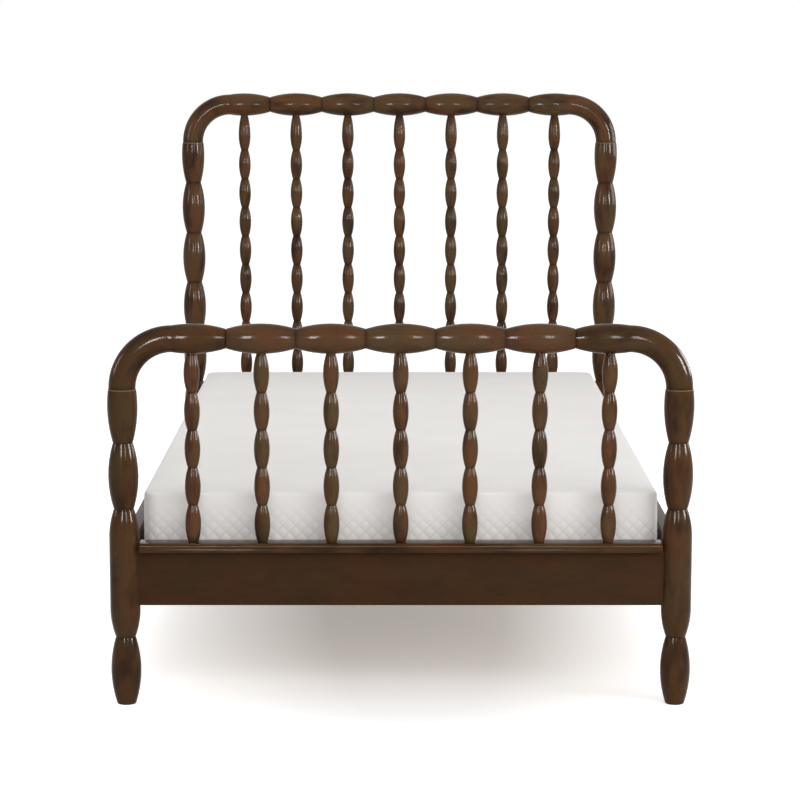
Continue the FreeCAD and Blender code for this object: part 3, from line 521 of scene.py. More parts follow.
class Outline:
    """The half outline of a turned piece, from its lower end up."""

    SWELL_POINTS = 12               # points that a swelling needs to look round

    def __init__(self, radius: float, height: float = 0.0) -> None:
        """Start with a flat end of a radius at a height."""
        self.points: list[tuple[float, float]] = [(0.0, height), (radius, height)]
        self.grooves: list[float] = []

    @property
    def height(self) -> float:
        """How high the outline has come."""
        return self.points[-1][1]

    def line(self, radius: float, rise: float) -> "Outline":
        """Go straight to a radius, a rise further up."""
        self.points.append((radius, self.height + rise))
        return self

    def swell(self, arc: float, peak: float, before: float, after: float) -> "Outline":
        """Follow an arc that bulges to a peak radius.

        Args:
            arc: The arc's radius.
            peak: The piece's radius where the arc is level.
            before: How far above the present height the arc is level.
            after: How far past that it ends.

        Returns:
            The outline itself.
        """
        middle = self.height + before
        for step in range(1, self.SWELL_POINTS + 1):
            share = (1 - math.cos(math.pi * step / self.SWELL_POINTS)) / 2
            offset = (before + after) * share - before
            radius = peak - arc + math.sqrt(arc ** 2 - offset ** 2)
            self.points.append((radius, middle + offset))
        return self

    def groove(self) -> "Outline":
        """Note a groove at the present height, which the material darkens: painted shade, with some
        stain that gathers there.
        """
        self.grooves.append(self.height)
        return self

    def close(self) -> "Outline":
        """End with a flat end."""
        self.points.append((0.0, self.height))
        return self

    def spin(self, steps: int) -> Form:
        """Spin the outline round its axis.

        Args:
            steps: Number of faces round the piece.

        Returns:
            The form, upright.
        """
        form = bmesh.new()
        chain = [form.verts.new((radius, 0.0, height)) for radius, height in self.points]
        edges = [form.edges.new(pair) for pair in zip(chain, chain[1:])]
        bmesh.ops.spin(form, geom=chain + edges, cent=(0, 0, 0), axis=(0, 0, 1), dvec=(0, 0, 0),
                       angle=FULL_TURN, steps=steps, use_merge=True, use_duplicate=False)
        tidy(form)
        shade(form)
        return form

    def turned(self, steps: int, seed: str) -> Form:
        """Turn the outline in wood.

        Args:
            steps: Number of faces round the piece.
            seed: The piece's name, which picks its plank.

        Returns:
            The turned form, upright, with its grain and grooves marked.
        """
        form = self.spin(steps)
        lay_grain(form, lambda point: point, seed)
        mark_grooves(form, self.grooves, lambda point: point.z)
        return form


def swell_arc(length: float, rise: float) -> float:
    """Radius of the arc that rises by rise over length and is level there."""
    return (length ** 2 + rise ** 2) / (2 * rise)


def mark_grooves(form: Form, grooves: Sequence[float], along: Callable[[Vector], float]) -> None:
    """Mark how near each point lies to a groove, which the material darkens: painted shade, with
    some stain that gathers there.

    Args:
        form: The form, in its own coordinates.
        grooves: Where the grooves are along the piece.
        along: Tells where a point is along the piece.
    """
    reach = 2.2 * MM
    layer = form.verts.layers.float.new("groove")
    for point in form.verts:
        nearest = min(abs(along(point.co) - groove) for groove in grooves)
        point[layer] = math.exp(-nearest / reach)


def plank(length: float, depth: float, height: float, round_edge: float, seed: str) -> Form:
    """Plane a board lengthwise along X, centred on its length and depth and standing on z = 0.

    Args:
        length: Its size along X.
        depth: Its size along Y.
        height: Its size along Z.
        round_edge: The radius of its edges.
        seed: The piece's name, which picks its grain.

    Returns:
        The board's form.
    """
    form = bmesh.new()
    bmesh.ops.create_cube(form, size=1.0)
    put(form, Matrix.Translation((0, 0, height / 2)) @ Matrix.Diagonal((length, depth, height, 1)))
    bmesh.ops.bevel(form, geom=form.edges[:], offset=round_edge, segments=3, profile=0.5,
                    affect="EDGES", material=-1)
    tidy(form)
    shade(form, limit=35.0)
    lay_grain(form, lambda point: (point.y, point.z, point.x), seed)
    return form


def next_ring(form: Form, ring: Ring, step: Vector, grow: float, centre: Vector) -> Ring:
    """Extrude a ring of edges by a step and let it grow about its centre.

    Args:
        form: The form that the ring ends.
        ring: The ring's edges.
        step: How far the new ring lies from it.
        grow: The new ring's radius over the old one's.
        centre: The old ring's centre.

    Returns:
        The new ring's edges.
    """
    made = bmesh.ops.extrude_edge_only(form, edges=ring)["geom"]
    points = [item for item in made if isinstance(item, bmesh.types.BMVert)]
    bmesh.ops.scale(form, vec=(grow, grow, grow), space=Matrix.Translation(-centre),
                    verts=points)
    bmesh.ops.translate(form, vec=step, verts=points)
    return [item for item in made if isinstance(item, bmesh.types.BMEdge)
            and all(point in points for point in item.verts)]


def spun(angle: float) -> Matrix:
    """A turn about +Z, in degrees."""
    return Matrix.Rotation(math.radians(angle), 4, "Z")


# The two ends of the bed ---------------------------------------------------------------------

@dataclass
class EndFrame:
    """A headboard or a footboard: posts, corner pieces, top rail, spindles, cap and board."""
    name: str
    side: int                       # -1 at the foot, 1 at the head
    post_beads: int
    spindle_beads: int
    stretch: float                  # how much further the topmost bead is drawn out
    posts: LacqueredHardwood        # the finish of the posts and corner pieces
    rail: LacqueredHardwood
    spindles: int = 7
    post_steps: int = 64
    spindle_steps: int = 40
    post_radius: float = 28.5 * MM
    post_neck: float = 18.75 * MM
    toe_radius: float = 18 * MM
    toe_height: float = 129.4 * MM
    toe_swell: float = 66 * MM
    shaft_height: float = 244.6 * MM
    shaft_curve: float = 54 * MM
    post_bead: float = 125.4 * MM
    top_bead: float = 101.4 * MM
    top_swell: float = 69 * MM
    bend: float = 94 * MM
    rail_radius: float = 28.5 * MM
    rail_neck: float = 18.5 * MM
    chamfer: float = 1 * MM
    spindle_radius: float = 15 * MM
    spindle_neck: float = 9 * MM
    upper_tenon: float = 22 * MM
    lower_tenon: float = 35 * MM
    lower_tenon_radius: float = 8 * MM
    ledge_width: float = 12 * MM
    ledge_drop: float = 3 * MM
    nose_height: float = 1.5 * MM
    nose_round: float = 0.7 * MM
    cove_depth: float = 2.5 * MM
    cove_steps: int = 12
    fillet_height: float = 2.5 * MM
    nose_highlight: float = 0.45       # how strongly a painted highlight lightens the cap's nose
    board_edge: float = 1.5 * MM
    bend_steps: int = 20
    spindle_turn: float = 37.0      # degrees, so that no two spindles show the same side

    def __post_init__(self) -> None:
        """Read the places that the frame gives."""
        post_low, post_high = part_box(f"{self.name}_post_right")
        self.post_x = (post_low.x + post_high.x) / 2
        self.y = (post_low.y + post_high.y) / 2
        self.joint = post_high.z
        self.bay = 2 * self.post_x / (self.spindles + 1)
        self.rail_z = self.joint + self.bend
        self.cap_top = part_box(f"{self.name}_cap_rail")[1].z
        rise = self.rail_radius - self.rail_neck
        self.rail_arc = swell_arc(self.bay / 2, rise)

    def build(self) -> None:
        """Make every wooden piece of this end."""
        self.make_posts()
        self.make_corners()
        self.make_top_rail()
        self.make_spindles()
        self.make_cap()
        self.make_board()

    def make_posts(self) -> None:
        """Turn the two posts: toe, long shaft, beads and the last bead under the corner joint."""
        rise = self.post_radius - self.post_neck
        shaft_arc = swell_arc(self.shaft_curve, rise)
        bead_arc = swell_arc(self.post_bead / 2, rise)
        top_arc = swell_arc(self.top_swell, rise)
        past_top = self.top_bead - self.top_swell - self.chamfer
        for side_name, side in (("left", -1), ("right", 1)):
            outline = Outline(self.toe_radius - self.chamfer).line(self.toe_radius, self.chamfer)
            lift = self.toe_swell - self.chamfer
            outline.swell(swell_arc(lift, self.post_radius - self.toe_radius), self.post_radius,
                          lift, 0.0)
            fall = self.toe_height - self.toe_swell
            outline.swell(swell_arc(fall, rise), self.post_radius, 0.0, fall).groove()
            outline.swell(shaft_arc, self.post_radius, self.shaft_curve, 0.0)
            outline.line(self.post_radius, self.shaft_height - 2 * self.shaft_curve)
            outline.swell(shaft_arc, self.post_radius, 0.0, self.shaft_curve).groove()
            for _ in range(self.post_beads):
                outline.swell(bead_arc, self.post_radius, self.post_bead / 2,
                              self.post_bead / 2).groove()
            outline.swell(top_arc, self.post_radius, self.top_swell, past_top)
            outline.line(outline.points[-1][0] - self.chamfer, self.chamfer).close()
            node = f"{self.name}_post_{side_name}"
            form = outline.turned(self.post_steps, node)
            # A painted highlight on the chamfer at the post's top, where it meets the corner piece.
            painted_highlight = form.verts.layers.float.new("painted_highlight")
            for point in form.verts:
                point[painted_highlight] = 1.0 if point.co.z > self.joint - 1.1 * self.chamfer else 0.0
            turn = spun(90.0 if side > 0 else 0.0)
            put(form, Matrix.Translation((side * self.post_x, self.y, 0.0)) @ turn)
            finish_piece("turned_" + node, form, self.posts, node)

    def make_corners(self) -> None:
        """Bend the two corner pieces from the posts' joints to the first necks of the rail."""
        tip = 1.5 * self.bay
        peak = self.bay             # where the arm is thickest, from the post's centre
        collar = self.rail_radius - self.rail_arc + math.sqrt(
            self.rail_arc ** 2 - (peak - self.bend) ** 2)
        for side_name, side in (("left", -1), ("right", 1)):
            node = f"{self.name}_corner_{side_name}"
            form = bmesh.new()
            bmesh.ops.create_circle(form, cap_ends=True, radius=collar - self.chamfer,
                                    segments=self.post_steps)
            ring = [edge for edge in form.edges if edge.is_boundary]
            ring = next_ring(form, ring, Vector((0, 0, self.chamfer)),
                             collar / (collar - self.chamfer), Vector())
            turned = bmesh.ops.spin(
                form, geom=ring + list({point for edge in ring for point in edge.verts}),
                cent=(self.bend, 0, self.chamfer), axis=(0, 1, 0), dvec=(0, 0, 0),
                angle=math.pi / 2, steps=self.bend_steps, use_merge=False, use_duplicate=False)
            ring = [item for item in turned["geom_last"] if isinstance(item, bmesh.types.BMEdge)]
            arm = Outline(collar, self.bend)
            arm.swell(self.rail_arc, self.rail_radius, peak - self.bend, tip - self.chamfer - peak)
            arm.line(arm.points[-1][0] - self.chamfer, self.chamfer)
            centre = Vector((self.bend, 0, self.bend + self.chamfer))
            for (radius, height), (new_radius, new_height) in zip(arm.points[1:], arm.points[2:]):
                step = Vector((new_height - height, 0, 0))
                ring = next_ring(form, ring, step, new_radius / radius, centre)
                centre += step
            bmesh.ops.contextual_create(form, geom=ring)
            # The chamfer lifted the bend, so the form is pressed down to the rail's height again.
            put(form, Matrix.Diagonal((1, 1, self.bend / (self.bend + self.chamfer), 1)))
            tidy(form)
            shade(form)
            lay_grain(form, self.unbent, node)
            mark_grooves(form, (0.0, math.pi / 2 * self.bend + tip - self.bend),
                         lambda point: self.unbent(point)[2])
            put(form, Matrix.Translation((side * self.post_x, self.y, self.joint))
                @ spun(0.0 if side < 0 else 180.0))
            finish_piece("bent_" + node, form, self.posts, node)

    def unbent(self, point: Vector) -> tuple[float, float, float]:
        """Find where a point of a corner piece lay before the piece was bent.

        Args:
            point: The point, from the post's joint.

        Returns:
            Its place in the straight piece, which stood upright on the joint.
        """
        if point.x < self.bend:
            reach = math.hypot(self.bend - point.x, point.z)
            angle = math.atan2(point.z, self.bend - point.x)
            return self.bend - reach, point.y, self.bend * angle
        return self.bend - point.z, point.y, self.bend * (math.pi / 2 - 1) + point.x

    def make_top_rail(self) -> None:
        """Turn the straight rail between the corner pieces, one bead over each inner spindle."""
        beads = self.spindles - 2
        outline = Outline(self.rail_neck - self.chamfer).groove()
        half = self.bay / 2
        for index in range(beads):
            before = half - (self.chamfer if index == 0 else 0.0)
            after = half - (self.chamfer if index == beads - 1 else 0.0)
            if index == 0:
                level = self.rail_radius - self.rail_arc + math.sqrt(
                    self.rail_arc ** 2 - before ** 2)
                outline.line(level, self.chamfer)
            outline.swell(self.rail_arc, self.rail_radius, before, after)
            if index < beads - 1:
                outline.groove()
        outline.line(self.rail_neck - self.chamfer, self.chamfer).groove().close()
        node = self.name + "_top_rail"
        form = outline.turned(self.post_steps, node)
        put(form, Matrix.Translation((-beads / 2 * self.bay, self.y, self.rail_z))
            @ Matrix.Rotation(math.pi / 2, 4, "Y"))
        finish_piece("turned_" + node, form, self.rail, node)

    def make_spindles(self) -> None:
        """Turn the spindles, each with its tenons."""
        underside = self.rail_z - self.rail_radius
        bead = (underside - self.cap_top - self.stretch) / self.spindle_beads
        rise = self.spindle_radius - self.spindle_neck
        arc, last = swell_arc(bead / 2, rise), bead / 2 + self.stretch
        for index in range(self.spindles):
            outline = Outline(self.lower_tenon_radius, -self.lower_tenon)
            outline.line(self.lower_tenon_radius, self.lower_tenon)
            outline.line(self.spindle_neck, 0.0).groove()
            for _ in range(self.spindle_beads - 1):
                outline.swell(arc, self.spindle_radius, bead / 2, bead / 2).groove()
            outline.swell(arc, self.spindle_radius, bead / 2, 0.0)
            outline.swell(swell_arc(last, rise), self.spindle_radius, 0.0, last).groove()
            outline.line(self.spindle_neck, self.upper_tenon).close()
            node = f"{self.name}_spindle_{index + 1}"
            form = outline.turned(self.spindle_steps, node)
            x = (index - self.spindles // 2) * self.bay
            turn = spun(self.spindle_turn * index)
            put(form, Matrix.Translation((x, self.y, self.cap_top)) @ turn)
            finish_piece("turned_" + node, form, WALNUT, node)

    def make_cap(self) -> None:
        """Run the cap's moulding: on its outer edge a ledge, a nose, a cove and a fillet."""
        node = self.name + "_cap_rail"
        low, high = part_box(node)
        depth, thick, half = high.y - low.y, high.z - low.z, (high.x - low.x) / 2
        form = bmesh.new()
        ledge, front = thick - self.ledge_drop, -depth / 2
        cove_top = ledge - self.nose_height
        cove_half = (cove_top - self.fillet_height) / 2
        arc = swell_arc(cove_half, self.cove_depth)
        section = [(depth / 2, 0.0), (depth / 2, thick), (front + self.ledge_width, thick),
                   (front + self.ledge_width, ledge), (front, ledge)]
        for step in range(self.cove_steps + 1):
            offset = cove_half * math.cos(math.pi * step / self.cove_steps)
            deep = math.sqrt(arc ** 2 - offset ** 2) - arc + self.cove_depth
            section.append((front + deep, cove_top - cove_half + offset))
        section.append((front, 0.0))
        face = form.faces.new([form.verts.new((-half, y, z)) for y, z in section])
        run = bmesh.ops.extrude_face_region(form, geom=[face])["geom"]
        bmesh.ops.translate(form, vec=(2 * half, 0, 0),
                            verts=[item for item in run if isinstance(item, bmesh.types.BMVert)])
        bmesh.ops.recalc_face_normals(form, faces=form.faces)
        square = [edge for edge in form.edges if edge.calc_face_angle(0.0) > math.radians(80)]
        bmesh.ops.bevel(form, geom=square, offset=self.nose_round, segments=3, profile=0.5,
                        affect="EDGES", material=-1)
        tidy(form)
        shade(form, limit=35.0)
        lay_grain(form, lambda point: (point.y, point.z, point.x), node)
        # A painted highlight on the rounded arris of the cap's nose.
        painted_highlight = form.verts.layers.float.new("painted_highlight")
        for point in form.verts:
            if point.co.y < front + MM and abs(point.co.z - ledge) < self.nose_round:
                point[painted_highlight] = self.nose_highlight
        put(form, Matrix.Translation((0, self.y, low.z)) @ spun(0.0 if self.side < 0 else 180.0))
        # The caps get the darker copy of the walnut, as painted shade.
        finish_piece("moulded_" + node, form, SHADED_WALNUT, node)

    def make_board(self) -> None:
        """Plane the broad board under the cap."""
        node = self.name + "_lower_board"
        low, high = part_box(node)
        size = high - low
        form = plank(size.x, size.y, size.z, self.board_edge, node)
        put(form, Matrix.Translation((0, self.y, low.z)))
        finish_piece("planed_" + node, form, BOARD_WALNUT, node)


# Sides and slats -----------------------------------------------------------------------------

@dataclass
class Deck:
    """The side rails and what they carry: cleats and slats."""
    slats: int = 13
    rail_edge: float = 1.5 * MM
    slat_edge: float = 3 * MM
    cleat_edge: float = 1 * MM

    def build(self) -> None:
        """Make the rails, cleats and slats from the frame's boxes."""
        for side in ("left", "right"):
            self.make_strip("side_rail_" + side, BOARD_WALNUT, self.rail_edge)
            self.make_strip("slat_cleat_" + side, PINE, self.cleat_edge)
        for index in range(self.slats):
            self.make_strip(f"slat_{index + 1:02d}", PINE, self.slat_edge)

    @staticmethod
    def make_strip(node: str, finish: Finish, round_edge: float) -> None:
        """Plane one board to its node's box, with its grain along its length.

        Args:
            node: The node.
            finish: The board's finish.
            round_edge: The radius of its edges.
        """
        low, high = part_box(node)
        size, middle = high - low, (low + high) / 2
        along_y = size.y > size.x
        length, depth = (size.y, size.x) if along_y else (size.x, size.y)
        form = plank(length, depth, size.z, round_edge, node)
        put(form, Matrix.Translation((middle.x, middle.y, low.z)) @ spun(90.0 if along_y else 0.0))
        finish_piece("planed_" + node, form, finish, node)


# Fittings ------------------------------------------------------------------------------------

def fastener_points(node: str) -> list[list[Vector]]:
    """Split a node of separate fasteners.

    Args:
        node: The node.

    Returns:
        The points of each fastener.
    """
    form = bmesh.new()
    form.from_mesh(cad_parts[node].data)
    bmesh.ops.remove_doubles(form, verts=form.verts, dist=MM * 0.01)
    fasteners, seen = [], set()
    for first in form.verts:
        if first in seen:
            continue
        points, waiting = [], [first]
        seen.add(first)
        while waiting:
            point = waiting.pop()
            points.append(point.co.copy())
            near = [edge.other_vert(point) for edge in point.link_edges]
            fresh = [other for other in near if other not in seen]
            seen.update(fresh)
            waiting.extend(dict.fromkeys(fresh))
        fasteners.append(points)
    form.free()
    return fasteners


def fastener_seats(node: str, slanted: bool = False) -> list[tuple[Matrix, float]]:
    """Find where the fasteners of a node sit.

    Args:
        node: The node.
        slanted: Whether they point slantwise across the bed's corner.

    Returns:
        For each one the matrix that takes its own +Z to its axis, from its far end to its head,
        and its length.
    """
    seats = []
    for points in fastener_points(node):
        low, high = Vector(map(min, zip(*points))), Vector(map(max, zip(*points)))
        middle, size = (low + high) / 2, high - low
        inward = Vector((-math.copysign(1.0, middle.x), -math.copysign(1.0, middle.y), 0.0))
        longest = max(range(3), key=lambda axis: size[axis])
        direction = inward.normalized()
        if not slanted:
            direction = Vector([float(axis == longest) for axis in range(3)])
            direction *= inward[longest] if longest < 2 else 1.0
        reach = max((point - middle).dot(direction) for point in points)
        turn = direction.to_track_quat("Z", "Y").to_matrix().to_4x4()
        seats.append((Matrix.Translation(middle - direction * reach) @ turn, 2 * reach))
    return seats


def wrapped(rows: int, steps: int, place: Callable[[int, float], tuple[float, float]]) -> Form:
    """Wrap a grid round +Z.

    Args:
        rows: Number of rows of points.
        steps: Number of faces round the form.
        place: Gives the radius and height of a row's point at an angle.

    Returns:
        The form.
    """
    form = bmesh.new()
    bmesh.ops.create_grid(form, x_segments=steps, y_segments=rows - 1, size=1.0)
    for point in form.verts:
        angle = (point.co.x + 1) * math.pi
        radius, height = place(round((point.co.y + 1) / 2 * (rows - 1)), angle)
        point.co = (radius * math.cos(angle), radius * math.sin(angle), height)
    tidy(form)
    shade(form, limit=25.0)
    return form


@dataclass
class Fasteners:
    """The bed's screws, hanger bolts, washers and nuts, each where the frame has it."""
    shank: float = 2.0 * MM
    head: float = 4.0 * MM
    sunk_depth: float = 2.6 * MM
    proud: float = 0.3 * MM         # height of a countersunk head's rim over its cone
    recess_reach: float = 1.9 * MM
    recess_half: float = 0.45 * MM
    recess_depth: float = 1.3 * MM
    bolt: float = 4.0 * MM
    pitch: float = 1.25 * MM
    thread_depth: float = 0.7 * MM
    rows_per_turn: int = 6
    washer: float = 10.0 * MM
    nut_half: float = 6.5 * MM      # half its width across flats
    nut_face: float = 0.95          # how wide its round face is, over its width across flats
    bore: float = 4.15 * MM
    edge: float = 0.25 * MM
    dome: tuple[float, ...] = (1.0, 0.95, 0.82, 0.64)    # a pan head's width, from rim to top
    recess_taper: float = 0.6       # the recess's floor over its mouth
    screw_turn: float = 47.0        # degrees that each screw is driven further than the last
    screw_steps: int = 24           # faces round a screw, a bolt, a washer and a nut
    bolt_steps: int = 20
    washer_steps: int = 40
    nut_steps: int = 48

    def build(self) -> None:
        """Make each node's fasteners as one piece."""
        for node in ("slat_screws", "cleat_screws"):
            self.place(node, self.sunk_screw)
        self.place("brace_screws", self.pan_screw)
        for node, make in (("hanger_bolts", self.threaded_bolt),
                           ("bolt_washers", self.flat_washer), ("bolt_nuts", self.hexagon_nut)):
            self.place(node, make, slanted=True)

    def place(self, node: str, make: Callable[[float], Form], slanted: bool = False) -> None:
        """Make a fastener for each seat of a node and join them.

        Args:
            node: The node.
            make: Makes a fastener of a length, upright from z = 0.
            slanted: Whether the fasteners point slantwise across the bed's corner.
        """
        whole = bmesh.new()
        mesh = bpy.data.meshes.new(node + "_single")
        for index, (seat, length) in enumerate(fastener_seats(node, slanted)):
            form = put(make(length), seat @ spun(0.0 if slanted else self.screw_turn * index))
            form.to_mesh(mesh)
            form.free()
            whole.from_mesh(mesh)
        bpy.data.meshes.remove(mesh)
        finish_piece("zinc_" + node, whole, ZINC, node)

    def sunk_screw(self, length: float) -> Form:
        """Make a countersunk wood screw.

        Args:
            length: Its length up to its head's rim.

        Returns:
            The screw.
        """
        outline = Outline(self.shank / 2).line(self.shank, 2 * self.shank)
        outline.line(self.shank, length - self.sunk_depth - outline.height)
        outline.line(self.head, self.sunk_depth).line(self.head, self.proud / 2)
        outline.line(self.head - self.proud / 2, self.proud / 2)
        return self.crossed(outline)

    def pan_screw(self, length: float) -> Form:
        """Make a screw with a domed pan head.

        Args:
            length: Its length with its head.

        Returns:
            The screw.
        """
        outline = Outline(self.shank / 2).line(self.shank, 2 * self.shank)
        outline.line(self.shank, length - self.sunk_depth - outline.height)
        outline.line(self.head, 0.0)
        for share in self.dome:
            outline.line(share * self.head, self.sunk_depth / len(self.dome))
        return self.crossed(outline)

    def crossed(self, outline: Outline) -> Form:
        """Spin a screw's outline and sink a cross recess into its open top.

        Args:
            outline: The outline, up to the rim of the head's face.

        Returns:
            The screw.
        """
        form = outline.spin(self.screw_steps)
        rim = [edge for edge in form.edges if edge.is_boundary]
        ends = ((self.recess_reach, -self.recess_half), (self.recess_reach, self.recess_half),
                (self.recess_half, self.recess_half))
        cross = [form.verts.new(spun(90.0 * quarter) @ Vector((*end, outline.height)))
                 for quarter in range(4) for end in ends]
        ring = [form.edges.new(pair) for pair in zip(cross, cross[1:] + cross[:1])]
        bmesh.ops.triangle_fill(form, edges=rim + ring, use_beauty=True)
        centre = Vector((0, 0, outline.height))
        ring = next_ring(form, ring, Vector((0, 0, -self.recess_depth)), self.recess_taper,
                         centre)
        bmesh.ops.contextual_create(form, geom=ring)
        tidy(form)
        shade(form, limit=30.0)
        return form

    def threaded_bolt(self, length: float) -> Form:
        """Make a threaded bar with chamfered ends.

        Args:
            length: Its length.

        Returns:
            The bar.
        """
        rows = round(length / self.pitch * self.rows_per_turn) + 1

        def thread(row: int, angle: float) -> tuple[float, float]:
            """Give the thread's radius and height.

            Args:
                row: The row of points.
                angle: The angle round the bar.

            Returns:
                The radius and the height.
            """
            height = length * row / (rows - 1)
            share = (height / self.pitch - angle / FULL_TURN) % 1.0
            radius = self.bolt - self.thread_depth * abs(2 * share - 1)
            return min(radius, 0.8 * self.bolt + min(height, length - height)), height

        form = wrapped(rows, self.bolt_steps, thread)
        bmesh.ops.holes_fill(form, edges=form.edges, sides=0)
        tidy(form)
        return form

    def flat_washer(self, thick: float) -> Form:
        """Make a round washer with broken edges.

        Args:
            thick: How thick it is.

        Returns:
            The washer.
        """
        wide, edge = self.washer, self.edge
        ring = ((self.bore, 0.0), (wide - edge, 0.0), (wide, edge), (wide, thick - edge),
                (wide - edge, thick), (self.bore + edge, thick), (self.bore, thick - edge),
                (self.bore, 0.0))
        return wrapped(len(ring), self.washer_steps, lambda row, angle: ring[row])

    def hexagon_nut(self, thick: float) -> Form:
        """Make a hexagon nut, its corners cut back by a cone on both faces.

        Args:
            thick: How thick it is.

        Returns:
            The nut.
        """
        face = self.nut_face * self.nut_half

        def side(row: int, angle: float) -> tuple[float, float]:
            """Give the nut's radius and height.

            Args:
                row: The row of points.
                angle: The angle round the nut.

            Returns:
                The radius and the height.
            """
            sixth = math.pi / 3
            out = self.nut_half / math.cos(angle % sixth - sixth / 2)
            cut = (out - face) * math.tan(sixth / 2)
            return ((self.bore, 0.0), (face, 0.0), (out, cut), (out, thick - cut), (face, thick),
                    (self.bore + 2 * self.edge, thick), (self.bore, thick - 2 * self.edge),
                    (self.bore, 0.0))[row]

        return wrapped(8, self.nut_steps, side)


def dress_the_rest() -> None:
    """Give the pressed steel braces and the hidden dowels their finishes."""
    for node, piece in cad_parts.items():
        if piece.hide_render:
            continue
        finish = PINE if node == "corner_dowels" else ZINC
        piece.data.materials.clear()
        piece.data.materials.append(finish.material())
        LOG.info("%s: finished as %s", node, finish.name)


# The mattress --------------------------------------------------------------------------------

@dataclass
class Mattress:
    """A foam mattress in a quilted cover, with rounded corners and softened edges.

    The block is inset from the frame's space to leave room to swell, lengthwise and upwards. Its
    sides stand proud of it instead, because the real cover bulges there.
    """
    spacing: float = 12 * MM        # of the even grid of faces
    inset: tuple[float, float, float] = (-4.5 * MM, 0.4 * MM, 1.0 * MM)
    corner: float = 28 * MM
    shoulder: float = 7 * MM
    pressure: float = 2.0
    foam: float = 0.02              # how stiffly the foam holds the cover back
    cling: float = 0.5              # how closely the cover follows the foam
    frames: int = 12
    give: float = 6 * MM            # the furthest that the cover moves
    diamond: float = 24 * MM        # width of a quilted diamond
    puff: float = 1.2 * MM
    sunk: float = 0.6               # how much of a puff's height lies under the flat cover
    uneven: float = 0.25            # how much the puffs' heights differ
    uneven_waves: tuple[float, float, float] = (23.0, 31.0, 9.0)    # per metre, in radians
    fade: tuple[float, float] = (0.42, 0.85)     # shares of the height where the puffs flatten
    faint: float = 0.05             # what is left of them on the top

    def __post_init__(self) -> None:
        """Read the mattress's space from the frame."""
        self.low, self.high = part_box("mattress")

    def build(self) -> None:
        block = self.make_block()
        self.swell_cover(block)
        form = self.refine(block)
        self.quilt(form)
        piece = finish_piece("quilted_mattress", form, TICKING, "mattress", body=Rides.MATTRESS)

    def make_block(self) -> bpy.types.Object:
        """Make a block with rounded corners and shoulders, on an even grid of faces.

        Returns:
            The block's object.
        """
        size = self.high - self.low - 2 * Vector(self.inset)
        form = bmesh.new()
        bmesh.ops.create_cube(form, size=1.0)
        middle = (self.low + self.high) / 2
        put(form, Matrix.Translation(middle) @ Matrix.Diagonal((*size, 1)))
        upright = [edge for edge in form.edges
                   if abs(edge.verts[0].co.z - edge.verts[1].co.z) > size.z / 2]
        bmesh.ops.bevel(form, geom=upright, offset=self.corner, segments=8, profile=0.5,
                        affect="EDGES", material=-1)
        rims = [edge for edge in form.edges
                if abs(edge.verts[0].co.z - edge.verts[1].co.z) < MM
                and edge.calc_face_angle(0.0) > math.radians(60)]
        bmesh.ops.bevel(form, geom=rims, offset=self.shoulder, segments=4, profile=0.5,
                        affect="EDGES", material=-1)
        for axis, margin in enumerate((self.corner, self.corner, self.shoulder)):
            start = self.low[axis] + self.inset[axis] + margin
            end = self.high[axis] - self.inset[axis] - margin
            cuts = round((end - start) / self.spacing)
            for step in range(1, cuts):
                place = start + (end - start) * step / cuts
                bmesh.ops.bisect_plane(
                    form, geom=[*form.verts, *form.edges, *form.faces], dist=MM * 0.001,
                    plane_co=[place if index == axis else 0.0 for index in range(3)],
                    plane_no=[float(index == axis) for index in range(3)])
        mesh = bpy.data.meshes.new("mattress_block")
        form.to_mesh(mesh)
        form.free()
        block = bpy.data.objects.new("mattress_block", mesh)
        bpy.context.scene.collection.objects.link(block)
        return block

    @staticmethod
    def apply(block: bpy.types.Object) -> None:
        """Apply all of a block's modifiers to its mesh.

        Args:
            block: The block's object.
        """
        evaluated = block.evaluated_get(bpy.context.evaluated_depsgraph_get())
        mesh = bpy.data.meshes.new_from_object(evaluated)
        block.modifiers.clear()
        block.data = mesh

    def swell_cover(self, block: bpy.types.Object) -> None:
        """Let the foam press the cover out, with the underside held by the slats.

        Args:
            block: The block's object.
        """
        rest = np.array([point.co for point in block.data.vertices])
        held = block.vertex_groups.new(name="foam")
        held.add(list(range(len(rest))), self.cling, "REPLACE")
        level = self.low.z + self.inset[2] + self.shoulder / 2
        held.add([index for index, place in enumerate(rest) if place[2] < level], 1.0, "REPLACE")
        cloth = block.modifiers.new("cover", "CLOTH")
        cloth.settings.vertex_group_mass = held.name
        cloth.settings.pin_stiffness = self.foam
        cloth.settings.use_pressure = True
        cloth.settings.uniform_pressure_force = self.pressure
        cloth.settings.effector_weights.gravity = 0.0
        cloth.collision_settings.use_collision = False
        for step in range(1, self.frames + 1):
            bpy.context.scene.frame_set(step)
        self.apply(block)
        bpy.context.scene.frame_set(1)
        swollen = np.array([point.co for point in block.data.vertices])
        move = swollen - rest
        reach = np.linalg.norm(move, axis=1, keepdims=True)
        move *= np.minimum(1.0, self.give / np.maximum(reach, 1e-9))
        block.data.vertices.foreach_set("co", (rest + move).astype(np.float32).ravel())
        LOG.info("mattress cover moved by up to %.1f mm", reach.max() / MM)

    def refine(self, block: bpy.types.Object) -> Form:
        """Split the grid, finer on the border, where the quilting shows in relief.

        Args:
            block: The block's object, which is removed.

        Returns:
            The finer form.
        """
        finer = block.modifiers.new("finer", "SUBSURF")
        finer.levels = finer.render_levels = 1
        self.apply(block)
        form = bmesh.new()
        form.from_mesh(block.data)
        bpy.data.objects.remove(block)
        border = {edge for face in form.faces for edge in face.edges
                  if abs(face.normal.z) < FLAT}
        bmesh.ops.subdivide_edges(form, edges=list(border), cuts=1, use_grid_fill=True)
        return form

